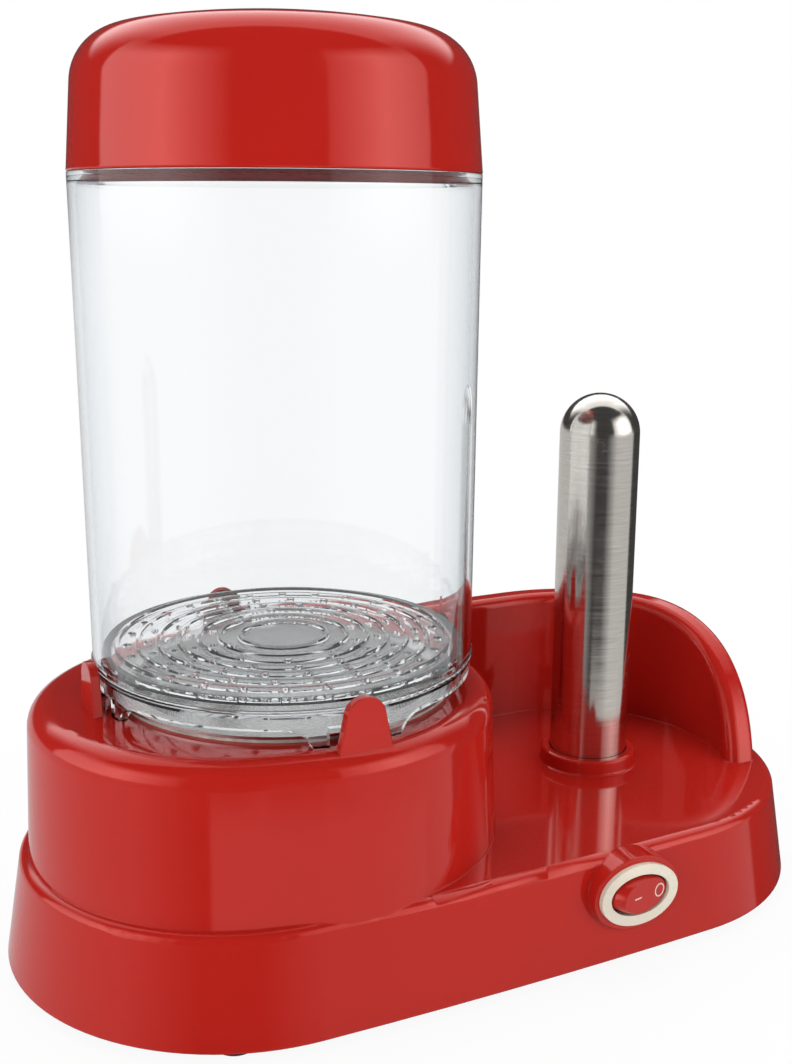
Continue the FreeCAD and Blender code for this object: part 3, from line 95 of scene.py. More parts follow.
def feed(tree, socket, value):
    """Link a socket from another, or set it to a plain value."""
    if isinstance(value, bpy.types.NodeSocket):
        tree.links.new(value, socket)
    else:
        socket.default_value = value


def maths(tree, operation, first, second=0.0, third=0.0):
    node = add(tree, "ShaderNodeMath", {"operation": operation})
    for socket, value in zip(node.inputs, (first, second, third)):
        feed(tree, socket, value)
    return node.outputs[0]


def times(tree, first, second):
    return maths(tree, "MULTIPLY", first, second)


def raised(tree, base, mask, amount):
    """The base, raised by the amount where the mask is 1."""
    return maths(tree, "MULTIPLY_ADD", mask, amount, base)


def remap(tree, value, low, high, new_low=0.0, new_high=1.0, smooth=False):
    kind = "SMOOTHSTEP" if smooth else "LINEAR"
    node = add(tree, "ShaderNodeMapRange", {"interpolation_type": kind})
    for socket, given in zip(node.inputs, (value, low, high, new_low, new_high)):
        feed(tree, socket, given)
    return node.outputs[0]


def mix_colour(tree, factor, first, second):
    """Mix two colours; inputs 6 and 7 and output 2 are the node's colour sockets."""
    node = add(tree, "ShaderNodeMix", {"data_type": "RGBA"})
    feed(tree, node.inputs[0], factor)
    feed(tree, node.inputs[6], first)
    feed(tree, node.inputs[7], second)
    return node.outputs[2]


def colour(red, green, blue):
    return (red, green, blue, 1.0)


def new_group(name, inputs, outputs):
    """A shader group whose inputs are plain numbers with a starting value."""
    group = bpy.data.node_groups.new(name, "ShaderNodeTree")
    for label, start in inputs.items():
        socket = group.interface.new_socket(
            name=label, in_out="INPUT", socket_type="NodeSocketFloat")
        socket.default_value = start
    for label in outputs:
        group.interface.new_socket(name=label, in_out="OUTPUT", socket_type="NodeSocketFloat")
    entry = group.nodes.new("NodeGroupInput")
    way_out = group.nodes.new("NodeGroupOutput")
    return group, entry.outputs, way_out.inputs


def use_group(tree, group, **values):
    node = add(tree, "ShaderNodeGroup", {"node_tree": group})
    for name, value in values.items():
        feed(tree, node.inputs[name.replace("_", " ")], value)
    return node.outputs


# %% [markdown]
# Moulded plastic is never quite flat. The mould's polish leaves a very fine grain, and
# the wall sinks a little as it cools, so reflections bend slowly across a large face.
# One group makes both from noise at two sizes and gives a height for a bump node. It
# works in object coordinates, so the pattern stays fixed to the piece.

# %% Group: moulded surface
def moulded_surface():
    sizes = {"Grain Size": 0.0004, "Grain Depth": 0.05, "Wave Size": 0.05, "Wave Depth": 0.5}
    group, given, result = new_group("moulded_surface", sizes, ["Height", "Tone"])
    place = add(group, "ShaderNodeTexCoord").outputs["Object"]
    fine = add(group, "ShaderNodeTexNoise", Vector=place, Detail=2.0, Roughness=0.6,
               Scale=maths(group, "DIVIDE", 1.0, given["Grain Size"]))
    slow = add(group, "ShaderNodeTexNoise", Vector=place, Detail=1.0, Roughness=0.4,
               Scale=maths(group, "DIVIDE", 1.0, given["Wave Size"]))
    grain = times(group, fine.outputs[0], given["Grain Depth"])
    wave = times(group, slow.outputs[0], given["Wave Depth"])
    feed(group, result["Height"], maths(group, "ADD", grain, wave))
    feed(group, result["Tone"], slow.outputs[0])
    return group


MOULDED = moulded_surface()
print("group", MOULDED.name, "ready")

# %% [markdown]
# Handling leaves faint marks: thin wipe scratches in all directions, and soft patches
# where fingers have been. A scratch is a place where one thin band of a stretched noise
# is crossed, so two noises that are stretched at different angles give a random
# scatter of fine lines. The patches are one more noise, cut off softly.

# %% Group: handling marks
# A turn in radians and a stretch, each for x, y and z.
SCRATCH_DIRECTIONS = (
    ((0.3, 0.9, 0.5), (1.0, 7.0, 3.0)),
    ((1.1, 0.2, 2.0), (6.0, 1.0, 2.0)),
)


def handling_marks():
    group, given, result = new_group(
        "handling_marks", {"Size": 0.02, "Thinness": 0.012}, ["Scratches", "Patches"])
    place = add(group, "ShaderNodeTexCoord").outputs["Object"]
    density = maths(group, "DIVIDE", 1.0, given["Size"])
    lines = []
    for turn, stretch in SCRATCH_DIRECTIONS:
        turned = add(group, "ShaderNodeMapping", Vector=place, Rotation=turn, Scale=stretch)
        noise = add(group, "ShaderNodeTexNoise", Vector=turned.outputs[0], Scale=density,
                    Detail=3.0, Distortion=0.6)
        away = maths(group, "ABSOLUTE", maths(group, "SUBTRACT", noise.outputs[0], 0.5))
        lines.append(remap(group, away, 0.0, given["Thinness"], 1.0, 0.0))
    crossed = maths(group, "MAXIMUM", *lines)
    patchy = add(group, "ShaderNodeTexNoise", Vector=place, Scale=density, Detail=4.0,
                 Roughness=0.65)
    patches = remap(group, patchy.outputs[0], 0.45, 0.7, smooth=True)
    feed(group, result["Scratches"], times(group, crossed, patches))
    feed(group, result["Patches"], patches)
    return group


HANDLED = handling_marks()
print("group", HANDLED.name, "ready")

# %% [markdown]
# Dust settles on what faces up. The group reads the surface's own normal, keeps the part
# that points up, and breaks it with noise. Only a trace is used, because the appliance
# is new, but that trace keeps a large gloss face from looking like a flat colour.

# %% Group: settled dust
SPECK_DENSITY = 900.0
DRIFT_DENSITY = 45.0


def settled_dust():
    group, given, result = new_group("settled_dust", {"Amount": 0.1}, ["Mask"])
    coordinates = add(group, "ShaderNodeTexCoord").outputs
    up = add(group, "ShaderNodeSeparateXYZ", Vector=coordinates["Normal"]).outputs[2]
    facing = remap(group, up, 0.6, 1.0, smooth=True)
    specks = add(group, "ShaderNodeTexNoise", Vector=coordinates["Object"],
                 Scale=SPECK_DENSITY, Detail=2.0)
    spots = remap(group, specks.outputs[0], 0.5, 0.75)
    drift = add(group, "ShaderNodeTexNoise", Vector=coordinates["Object"],
                Scale=DRIFT_DENSITY, Detail=2.0)
    cover = times(group, times(group, facing, spots), drift.outputs[0])
    feed(group, result["Mask"], times(group, cover, given["Amount"]))
    return group


DUST = settled_dust()
print("group", DUST.name, "ready")

# %% [markdown]
# Turned, spun and polished metal carries lines that run round its axis. The group takes
# the distance along the axis, drives a noise with it far faster than with the place
# round the axis, and so draws long thin rings. Each material says where its axis is.

# %% Group: turned lines
DRIFT_ROUND_AXIS = 0.7


def turned_lines():
    sizes = {"Axis X": 0.0, "Axis Y": 0.0, "Pitch": 0.0004, "Flat": 0.0}
    group, given, result = new_group("turned_lines", sizes, ["Height", "Tone"])
    place = add(group, "ShaderNodeTexCoord").outputs["Object"]
    parts = add(group, "ShaderNodeSeparateXYZ", Vector=place).outputs
    x = maths(group, "SUBTRACT", parts[0], given["Axis X"])
    y = maths(group, "SUBTRACT", parts[1], given["Axis Y"])
    reach = maths(group, "SQRT", maths(group, "ADD", times(group, x, x), times(group, y, y)))
    across = add(group, "ShaderNodeMix", {"data_type": "FLOAT"})
    feed(group, across.inputs[0], given["Flat"])
    feed(group, across.inputs[2], parts[2])
    feed(group, across.inputs[3], reach)
    angle = maths(group, "ARCTAN2", y, x)
    rings = add(group, "ShaderNodeCombineXYZ",
                X=maths(group, "DIVIDE", across.outputs[0], given["Pitch"]),
                Y=times(group, angle, DRIFT_ROUND_AXIS))
    noise = add(group, "ShaderNodeTexNoise", Vector=rings.outputs[0], Scale=1.0, Detail=3.0,
                Roughness=0.7)
    feed(group, result["Height"], noise.outputs[0])
    feed(group, result["Tone"], remap(group, noise.outputs[0], 0.3, 0.7))
    return group


TURNED = turned_lines()
print("groups", [group.name for group in bpy.data.node_groups])

# %% [markdown]
# Every finish ends in a Principled shader with a bump. This helper makes both, so a
# recipe only has to say what differs. Values that are the same all over stay on the
# shader's own sockets, which lets them survive an export.

# %% Helper: a finish
BEVEL_SAMPLES = 4


def new_finish(name):
    material = bpy.data.materials.new(name)
    material.use_nodes = True
    tree = material.node_tree
    shader = tree.nodes["Principled BSDF"]
    return material, tree, shader


def set_sockets(shader, **values):
    for name, value in values.items():
        shader.inputs[name.replace("_", " ")].default_value = value


def bumped(tree, shader, height, distance, strength=1.0, edge=0.0):
    """Lay a bump on the surface; an edge radius also softens the corners that it meets."""
    bump = add(tree, "ShaderNodeBump", Height=height, Distance=distance, Strength=strength)
    if edge:
        rounded = add(tree, "ShaderNodeBevel", {"samples": BEVEL_SAMPLES}, Radius=edge)
        feed(tree, bump.inputs["Normal"], rounded.outputs[0])
    tree.links.new(bump.outputs[0], shader.inputs["Normal"])


def worn(tree, marks, roughness, patches, scratches):
    """The roughness, changed where fingers have been and where a scratch runs."""
    touched = raised(tree, roughness, marks["Patches"], patches)
    return raised(tree, touched, marks["Scratches"], scratches)


def shaded(body, share):
    """A darker shade of a colour."""
    return tuple(channel * share for channel in body[:3]) + (1.0,)


# %% [markdown]
# The red shell, lid and rocker are ABS with a high polish. The mould's mirror finish
# shows soft boxes with almost sharp edges, so the roughness is low. The colour is
# mixed through the plastic, and only a slow tone drift and a trace of dust vary it. A
# real moulding has no sharp corner, so the normals are rounded over about half a
# millimetre at each edge.

# %% Finish: gloss red plastic
DUST_TRACE = 0.02
DUST_COLOUR = colour(0.75, 0.6, 0.55)
RED_SHEEN = colour(1.0, 0.35, 0.32)


def gloss_plastic(name, body, deep, roughness, edge):
    material, tree, shader = new_finish(name)
    moulded = use_group(tree, MOULDED, Grain_Size=0.0005, Grain_Depth=0.012, Wave_Size=0.045,
                        Wave_Depth=0.5)
    marks = use_group(tree, HANDLED, Size=0.03, Thinness=0.006)
    dust = use_group(tree, DUST, Amount=DUST_TRACE)
    skin = mix_colour(tree, remap(tree, moulded["Tone"], 0.3, 0.7), body, deep)
    feed(tree, shader.inputs["Base Color"], mix_colour(tree, dust["Mask"], skin, DUST_COLOUR))
    rough = worn(tree, marks, roughness, patches=0.03, scratches=0.06)
    feed(tree, shader.inputs["Roughness"], raised(tree, rough, dust["Mask"], 0.5))
    bumped(tree, shader, moulded["Height"], distance=0.0004, strength=0.2, edge=edge)
    set_sockets(shader, IOR=1.5, Specular_IOR_Level=1.0, Specular_Tint=RED_SHEEN)
    return material


PALE_RED = colour(0.45, 0.015, 0.01)
DEEP_RED = colour(0.43, 0.014, 0.009)
PRESSED_RED = colour(0.46, 0.016, 0.011)
SHELL_RED = gloss_plastic("shell_red", PALE_RED, DEEP_RED, roughness=0.07, edge=0.6 * MM)
LID_RED = gloss_plastic("lid_red", PALE_RED, DEEP_RED, roughness=0.06, edge=0.3 * MM)
ROCKER_RED = gloss_plastic("rocker_red", PRESSED_RED, DEEP_RED, roughness=0.12, edge=0.3 * MM)
print("reds", SHELL_RED.name, LID_RED.name, ROCKER_RED.name)

# %% [markdown]
# The bezel, the switch body, the cover, the terminal block and the wire sleeves are
# plain moulded plastics with a visible grain. One recipe serves them, with its own
# colour, polish and grain for each.

# %% Finish: grained plastic
def grained_plastic(name, body, roughness, grain, depth):
    material, tree, shader = new_finish(name)
    moulded = use_group(tree, MOULDED, Grain_Size=grain, Grain_Depth=1.0, Wave_Size=0.03,
                        Wave_Depth=0.4)
    marks = use_group(tree, HANDLED, Size=0.015, Thinness=0.01)
    drift = remap(tree, moulded["Tone"], 0.35, 0.65)
    feed(tree, shader.inputs["Base Color"], mix_colour(tree, drift, body, shaded(body, 0.85)))
    rough = worn(tree, marks, roughness, patches=-0.08, scratches=0.15)
    feed(tree, shader.inputs["Roughness"], rough)
    bumped(tree, shader, moulded["Height"], depth)
    return material


# A colour, a roughness, and the grain's size and depth in metres.
PLASTIC_ROWS = {
    "bezel_cream": ((0.8, 0.74, 0.61), 0.3, 0.0006, 0.00001),
    "mark_white": ((0.8, 0.66, 0.6), 0.5, 0.0004, 0.00001),
    "cover_black": ((0.02, 0.02, 0.021), 0.5, 0.0008, 0.00006),
    "switch_black": ((0.025, 0.025, 0.025), 0.42, 0.0006, 0.00003),
    "block_nylon": ((0.78, 0.76, 0.7), 0.4, 0.0007, 0.00003),
    "fuse_case": ((0.72, 0.72, 0.68), 0.45, 0.0005, 0.00003),
    "ceramic_white": ((0.75, 0.72, 0.66), 0.6, 0.0003, 0.00005),
    "sleeve_brown": ((0.12, 0.045, 0.02), 0.4, 0.0004, 0.00002),
    "sleeve_blue": ((0.02, 0.08, 0.35), 0.4, 0.0004, 0.00002),
    "sleeve_green": ((0.05, 0.3, 0.06), 0.4, 0.0004, 0.00002),
    "sleeve_white": ((0.75, 0.75, 0.72), 0.45, 0.0004, 0.00003),
}
PLASTIC = {name: grained_plastic(name, colour(*body), roughness, grain, depth)
           for name, (body, roughness, grain, depth) in PLASTIC_ROWS.items()}
print("plastics", list(PLASTIC))

# %% [markdown]
# Rubber drinks the light. Feet, gland and pan seal get a coarse fine-pored bump and a
# high roughness, with the worn patches a little smoother.

# %% Finish: rubber
def rubber(name, body, roughness):
    material, tree, shader = new_finish(name)
    moulded = use_group(tree, MOULDED, Grain_Size=0.0003, Grain_Depth=1.0, Wave_Size=0.01,
                        Wave_Depth=0.3)
    marks = use_group(tree, HANDLED, Size=0.01, Thinness=0.02)
    paler = tuple(min(channel * 1.6 + 0.01, 1.0) for channel in body[:3]) + (1.0,)
    feed(tree, shader.inputs["Base Color"], mix_colour(tree, marks["Patches"], body, paler))
    feed(tree, shader.inputs["Roughness"], raised(tree, roughness, marks["Patches"], -0.15))
    bumped(tree, shader, moulded["Height"], distance=0.00008)
    return material


FOOT_RUBBER = rubber("foot_rubber", colour(0.012, 0.012, 0.012), 0.8)
GLAND_RUBBER = rubber("gland_rubber", colour(0.012, 0.012, 0.013), 0.7)
SEAL_SILICONE = rubber("seal_silicone", colour(0.38, 0.36, 0.33), 0.55)
print("rubbers", FOOT_RUBBER.name, GLAND_RUBBER.name, SEAL_SILICONE.name)

# %% [markdown]
# The bare metals share one recipe: rings from the lathe or the polishing wheel, a
# roughness that drifts with them, and scratches. The spike is polished bright, the
# pan is spun and a little dull, and the hidden fixings are plain plated steel.

# %% Finish: metal
def metal(name, body, roughness, pitch, depth, axis, flat):
    """Lines run round the axis, up a wall or, with flat at 1, outwards over a face."""
    material, tree, shader = new_finish(name)
    lines = use_group(tree, TURNED, Axis_X=axis[0], Axis_Y=axis[1], Pitch=pitch, Flat=flat)
    marks = use_group(tree, HANDLED, Size=0.02, Thinness=0.008)
    streaked = mix_colour(tree, lines["Tone"], shaded(body, 0.82), body)
    feed(tree, shader.inputs["Base Color"], streaked)
    rough = raised(tree, roughness * 0.7, lines["Tone"], roughness * 0.6)
    rough = worn(tree, marks, rough, patches=0.05, scratches=0.12)
    feed(tree, shader.inputs["Roughness"], rough)
    bumped(tree, shader, lines["Height"], depth)
    set_sockets(shader, Metallic=1.0)
    return material


# A colour, a roughness, the lines' pitch and depth in metres, their axis, and flat.
FRAME_AXIS = Vector((0.0, 0.0, 0.0))
METAL_ROWS = {
    "spike_steel": ((0.74, 0.7, 0.65), 0.14, 0.0009, 0.0000004, SPIKE_AXIS, 0.0),
    "pan_steel": ((0.66, 0.66, 0.65), 0.25, 0.0005, 0.00001, CUP_AXIS, 1.0),
    "plate_aluminium": ((0.75, 0.75, 0.76), 0.35, 0.0006, 0.00002, CUP_AXIS, 1.0),
    "element_steel": ((0.22, 0.19, 0.17), 0.45, 0.001, 0.00002, CUP_AXIS, 0.0),
    "fixing_steel": ((0.6, 0.6, 0.58), 0.32, 0.0007, 0.00001, FRAME_AXIS, 0.0),
    "screw_steel": ((0.62, 0.62, 0.62), 0.28, 0.0004, 0.00001, FRAME_AXIS, 0.0),
    "contact_brass": ((0.7, 0.5, 0.2), 0.3, 0.0005, 0.00001, FRAME_AXIS, 0.0),
}
METAL = {name: metal(name, colour(*body), *rest) for name, (body, *rest) in METAL_ROWS.items()}
print("metals", list(METAL))

# %% [markdown]
# The cup and the steam plate are clear moulded plastic with a faint cold cast. Real
# wall thickness does most of the work: light bends twice at each wall. Seen along the
# wall, the plastic is deeper and shows its cold colour, so the tint grows towards the
# edges. The finish also adds a slight waviness.

# %% Finish: clear plastic
def clear_plastic(name, tint, edge_tint, roughness, bend):
    material, tree, shader = new_finish(name)
    moulded = use_group(tree, MOULDED, Grain_Size=0.001, Grain_Depth=0.02, Wave_Size=0.03,
                        Wave_Depth=0.2)
    marks = use_group(tree, HANDLED, Size=0.02, Thinness=0.004)
    facing = add(tree, "ShaderNodeLayerWeight", Blend=0.5).outputs["Facing"]
    deeper = remap(tree, facing, 0.45, 0.98)
    feed(tree, shader.inputs["Base Color"], mix_colour(tree, deeper, tint, edge_tint))
    set_sockets(shader, IOR=bend, Transmission_Weight=1.0)
    rough = raised(tree, roughness, marks["Scratches"], 0.06)
    feed(tree, shader.inputs["Roughness"], rough)
    bumped(tree, shader, moulded["Height"], distance=0.0002, strength=0.08)
    return material


CUP_CLEAR = clear_plastic("cup_clear", colour(0.975, 0.985, 0.99), colour(0.66, 0.73, 0.8),
                          roughness=0.01, bend=1.46)
PLATE_CLEAR = clear_plastic("plate_clear", colour(0.95, 0.96, 0.965), colour(0.7, 0.72, 0.74),
                            roughness=0.05, bend=1.3)
print("clear", CUP_CLEAR.name, PLATE_CLEAR.name)

# %% [markdown]
# Each solid now gets its finish. A table from node to finish is easier to check than a
# long row of assignments, and a missing name stops the script at once.

# %% Dress the solids
FIXING_NODES = ("pan_retaining_ring", "heater_strap", "heater_studs", "heater_nuts", "thermostat",
                "spike_clamp_plate")
FINISH_OF = {
    "housing": SHELL_RED, "lid": LID_RED, "rocker": ROCKER_RED,
    "cup": CUP_CLEAR, "steam_plate": PLATE_CLEAR,
    "pan_seal": SEAL_SILICONE, "inlet_gland": GLAND_RUBBER,
    "heating_pan": METAL["pan_steel"], "heater_plate": METAL["plate_aluminium"],
    "heater_ring": METAL["element_steel"], "spike_tube": METAL["spike_steel"],
    "switch_terminals": METAL["contact_brass"], "switch_contact": METAL["contact_brass"],
    "cover_screws": METAL["screw_steel"], "terminal_screws": METAL["screw_steel"],
    "spike_clamp_screws": METAL["screw_steel"],
    "bottom_cover": PLASTIC["cover_black"], "thermal_fuse": PLASTIC["fuse_case"],
    "spike_heater": PLASTIC["ceramic_white"], "spike_spacer_lower": PLASTIC["ceramic_white"],
    "spike_spacer_upper": PLASTIC["ceramic_white"], "switch_frame": PLASTIC["bezel_cream"],
    "switch_base": PLASTIC["switch_black"], "terminal_block": PLASTIC["block_nylon"],
    "lead_line": PLASTIC["sleeve_brown"], "lead_neutral": PLASTIC["sleeve_blue"],
    "lead_earth": PLASTIC["sleeve_green"],
}
FINISH_OF.update({node: METAL["fixing_steel"] for node in FIXING_NODES})


def finish_for(node):
    if node.startswith("foot_"):
        return FOOT_RUBBER
    if node.startswith("lead_"):
        return FINISH_OF.get(node, PLASTIC["sleeve_white"])
    return FINISH_OF[node]


for node_name, solid in frame["nodes"].items():
    solid.data.materials.clear()
    solid.data.materials.append(finish_for(node_name))
print("dressed", len(frame["nodes"]), "solids")

# %% [markdown]
# Screws, feet and the lid are all round, so one geometry tree makes them. Its input is a
# row of points: first the outline of half the piece, then the places where it stands. A
# grid is wound round the axis, one row for each point of the outline, and a slot can be
# cut into the end. Copies are then put at the places, each turned at random with a fixed
# seed, as screws are in real life. A mesh written by hand would work too, but then
# the sizes could not be changed from outside.

# %% Geometry tree: turned piece
FULL_TURN = 2 * math.pi
SAME_POINT = 0.000001


def turned_piece_tree():
    tree = bpy.data.node_groups.new("turned_piece", "GeometryNodeTree")
    sizes = {"Outline Points": ("NodeSocketInt", 8), "Segments": ("NodeSocketInt", 64),
             "Seed": ("NodeSocketInt", 7)}
    for label in ("Slot Length", "Slot Width", "Slot Depth", "Slot Face"):
        sizes[label] = ("NodeSocketFloat", 0.0)
    tree.interface.new_socket(name="Points", in_out="INPUT", socket_type="NodeSocketGeometry")
    for label, (kind, start) in sizes.items():
        socket = tree.interface.new_socket(name=label, in_out="INPUT", socket_type=kind)
        socket.default_value = start
    tree.interface.new_socket(name="Finish", in_out="INPUT", socket_type="NodeSocketMaterial")
    tree.interface.new_socket(name="Piece", in_out="OUTPUT", socket_type="NodeSocketGeometry")
    given = add(tree, "NodeGroupInput").outputs
    is_place = add(tree, "FunctionNodeCompare", {"data_type": "INT", "operation": "GREATER_EQUAL"})
    feed(tree, is_place.inputs[2], add(tree, "GeometryNodeInputIndex").outputs[0])
    feed(tree, is_place.inputs[3], given["Outline Points"])
    split = add(tree, "GeometryNodeSeparateGeometry", {"domain": "POINT"}, Geometry=given["Points"],
                Selection=is_place.outputs[0])
    columns = maths(tree, "ADD", given["Segments"], 1.0)
    grid = add(tree, "GeometryNodeMeshGrid", Size_X=1.0, Size_Y=1.0, Vertices_X=columns,
               Vertices_Y=given["Outline Points"])
    grid_point = add(tree, "GeometryNodeInputPosition").outputs[0]
    spot = add(tree, "ShaderNodeSeparateXYZ", Vector=grid_point).outputs
    last_row = maths(tree, "SUBTRACT", given["Outline Points"], 1.0)
    row = maths(tree, "ROUND", times(tree, maths(tree, "ADD", spot[1], 0.5), last_row))
    angle = times(tree, maths(tree, "ADD", spot[0], 0.5), FULL_TURN)
    sample = add(tree, "GeometryNodeSampleIndex", {"data_type": "FLOAT_VECTOR", "domain": "POINT"},
                 Geometry=given["Points"], Index=row)
    feed(tree, sample.inputs["Value"], add(tree, "GeometryNodeInputPosition").outputs[0])
    wound = add(tree, "ShaderNodeVectorRotate", {"rotation_type": "Z_AXIS"},
                Vector=sample.outputs[0], Angle=angle)
    shape = add(tree, "GeometryNodeSetPosition", Geometry=grid.outputs["Mesh"],
                Position=wound.outputs[0])
    closed = add(tree, "GeometryNodeMergeByDistance", Geometry=shape.outputs[0],
                 Distance=SAME_POINT)
    size = add(tree, "ShaderNodeCombineXYZ", X=given["Slot Length"], Y=given["Slot Width"],
               Z=times(tree, given["Slot Depth"], 2.0))
    bar = add(tree, "GeometryNodeMeshCube", Size=size.outputs[0])
    low = add(tree, "ShaderNodeCombineXYZ", Z=given["Slot Face"])
    bar = add(tree, "GeometryNodeTransform", Geometry=bar.outputs[0], Translation=low.outputs[0])
    slotted = add(tree, "GeometryNodeMeshBoolean",
                  {"operation": "DIFFERENCE", "solver": "EXACT"})
    feed(tree, slotted.inputs["Mesh 1"], closed.outputs[0])
    feed(tree, slotted.inputs["Mesh 2"], bar.outputs[0])
    wants_slot = add(tree, "FunctionNodeCompare",
                     {"data_type": "FLOAT", "operation": "GREATER_THAN"})
    feed(tree, wants_slot.inputs[0], given["Slot Depth"])
    chosen = add(tree, "GeometryNodeSwitch", {"input_type": "GEOMETRY"},
                 Switch=wants_slot.outputs[0])
    feed(tree, chosen.inputs["False"], closed.outputs[0])
    feed(tree, chosen.inputs["True"], slotted.outputs[0])
    spin = add(tree, "FunctionNodeRandomValue", {"data_type": "FLOAT"})
    feed(tree, spin.inputs[2], 0.0)
    feed(tree, spin.inputs[3], FULL_TURN)
    feed(tree, spin.inputs["Seed"], given["Seed"])
    turn = add(tree, "ShaderNodeCombineXYZ", Z=spin.outputs[1])
    copies = add(tree, "GeometryNodeInstanceOnPoints", Points=split.outputs[0],
                 Instance=chosen.outputs[0])
    turn_to = add(tree, "FunctionNodeEulerToRotation", Euler=turn.outputs[0])
    feed(tree, copies.inputs["Rotation"], turn_to.outputs[0])
    real = add(tree, "GeometryNodeRealizeInstances", Geometry=copies.outputs[0])
    dressed = add(tree, "GeometryNodeSetMaterial", Geometry=real.outputs[0],
                  Material=given["Finish"])
    way_out = add(tree, "NodeGroupOutput")
    feed(tree, way_out.inputs[0], dressed.outputs[0])
    return tree


TURNED_PIECE = turned_piece_tree()


def turned_piece(name, outline, places, finish, sharp_angle=35.0, **sizes):
    """Run the tree on an outline and a list of places, and keep the plain mesh."""
    points = [(x, 0.0, z) for x, z in outline] + [tuple(place) for place in places]
    mesh = bpy.data.meshes.new(f"{name}_points")
    mesh.from_pydata(points, [], [])
    maker = bpy.data.objects.new(f"{name}_maker", mesh)
    bpy.context.scene.collection.objects.link(maker)
    modifier = maker.modifiers.new("make", "NODES")
    modifier.node_group = TURNED_PIECE
    values = {"Outline Points": len(outline), "Finish": finish}
    values.update({label.replace("_", " "): value for label, value in sizes.items()})
    for item in TURNED_PIECE.interface.items_tree:
        if item.in_out == "INPUT" and item.name in values:
            modifier[item.identifier] = values[item.name]
    evaluated = maker.evaluated_get(bpy.context.evaluated_depsgraph_get())
    made = bpy.data.meshes.new_from_object(evaluated)
    made.name = name
    bpy.data.objects.remove(maker)
    shape = bmesh.new()
    shape.from_mesh(made)
    bmesh.ops.recalc_face_normals(shape, faces=shape.faces)
    shape.to_mesh(made)
    shape.free()
    made.shade_smooth()
    made.set_sharp_from_angle(angle=math.radians(sharp_angle))
    piece = bpy.data.objects.new(name, made)
    bpy.context.scene.collection.objects.link(piece)
    print(name, len(made.polygons), "faces")
    return piece


# %% [markdown]
# The lid is the one large piece whose shape is a rule: a wall that leans in a little, a
# shallow dome, and a round shoulder where they meet. The shoulder's centre is found by
# halving, as the point that is one radius inside both the wall and the dome. The inner
# face is the same rule with the wall's thickness taken off.

# %% Lid
LID_WALL = 2.5 * MM
LID_TOP_WALL = 2.1 * MM
LID_TAPER = 2.8 * MM
LID_DOME_RISE = 6.3 * MM
LID_SHOULDER = 15.0 * MM
LID_INNER_SHOULDER = 13.0 * MM
LID_SEAT = 1.0 * MM
RIM_ROUND = 0.6 * MM
RIM_FLAT = 0.2 * MM
RIM_CLEAR = 0.1 * MM
HALVINGS = 60
SHOULDER_STEPS = 24
WALL_SHARES = (0.0, 0.04, 0.3, 0.6, 0.9, 0.98)
DOME_SHARES = (0.98, 0.9, 0.8, 0.7, 0.6, 0.5, 0.4, 0.3, 0.2, 0.1, 0.03, 0.0)


def on_circle(centre, radius, angle):
    return (centre[0] + radius * math.cos(angle), centre[1] + radius * math.sin(angle))


def round_foot(centre, radius, first_step):
    """A quarter circle in six steps, from straight down to straight out."""
    angles = [math.radians(-90 + 15 * step) for step in range(first_step, 7)]
    return [on_circle(centre, radius, angle) for angle in angles]


def dome_outline(wall_radius, wall_foot, corner_radius, corner, top, shoulder):
    """Points from the wall's foot over the shoulder to the middle of the dome."""
    rise = top - corner
    dome = (corner_radius ** 2 + rise ** 2) / (2 * rise)
    dome_z = top - dome
    lean = math.atan2(wall_radius - corner_radius, corner - wall_foot)
    along = Vector((-math.sin(lean), math.cos(lean)))
    inward = Vector((-math.cos(lean), -math.sin(lean)))
    foot = Vector((wall_radius, wall_foot))
    low, high = 0.0, (corner - wall_foot) / math.cos(lean)
    for _ in range(HALVINGS):
        middle = (low + high) / 2
        centre = foot + along * middle + inward * shoulder
        if (centre - Vector((0.0, dome_z))).length < dome - shoulder:
            low = middle
        else:
            high = middle
    centre = foot + along * low + inward * shoulder
    start_angle = math.atan2(-inward[1], -inward[0])
    end_angle = math.atan2(centre[1] - dome_z, centre[0])
    points = [tuple(foot + along * low * share) for share in WALL_SHARES]
    for step in range(SHOULDER_STEPS + 1):
        angle = start_angle + (end_angle - start_angle) * step / SHOULDER_STEPS
        points.append(on_circle(centre, shoulder, angle))
    for share in DOME_SHARES:
        angle = math.pi / 2 + (end_angle - math.pi / 2) * share
        points.append((dome * math.cos(angle) if share else 0.0, dome_z + dome * math.sin(angle)))
    return points


def lid_outline():
    low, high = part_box("lid")
    radius = (high[0] - low[0]) / 2
    corner_radius = radius - LID_TAPER
    corner = high[2] - LID_DOME_RISE
    outside = dome_outline(radius, low[2], corner_radius, corner, high[2], LID_SHOULDER)
    inside = dome_outline(radius - LID_WALL, top_of("cup") + LID_SEAT, corner_radius - LID_TOP_WALL,
                          corner - LID_TOP_WALL, high[2] - LID_TOP_WALL, LID_INNER_SHOULDER)
    rim = [(radius - LID_WALL, low[2]), (radius - RIM_ROUND - RIM_FLAT, low[2])]
    edge_top = low[2] + RIM_ROUND
    rim += round_foot((radius - RIM_ROUND, edge_top), RIM_ROUND, 0)
    outside = [point for point in outside if point[1] > edge_top + RIM_CLEAR]
    return inside[::-1] + rim + outside


CUP_FOOT = Vector((CUP_AXIS[0], CUP_AXIS[1], 0.0))
LID = turned_piece("lid_dome", lid_outline(), [CUP_FOOT], LID_RED, Segments=192)
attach(LID, "lid_body")
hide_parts("lid")

# %% [markdown]
# The feet and the screws under the cover repeat, so each kind is one outline and four
# places. A foot's place is the middle of its solid's box. The screws are one solid, so
# their places come from its points, one screw to each corner of the box. A foot has a
# shallow cup in its sole, which makes it grip, and each screw has a rounded head with a
# slot and rings that stand for the thread.

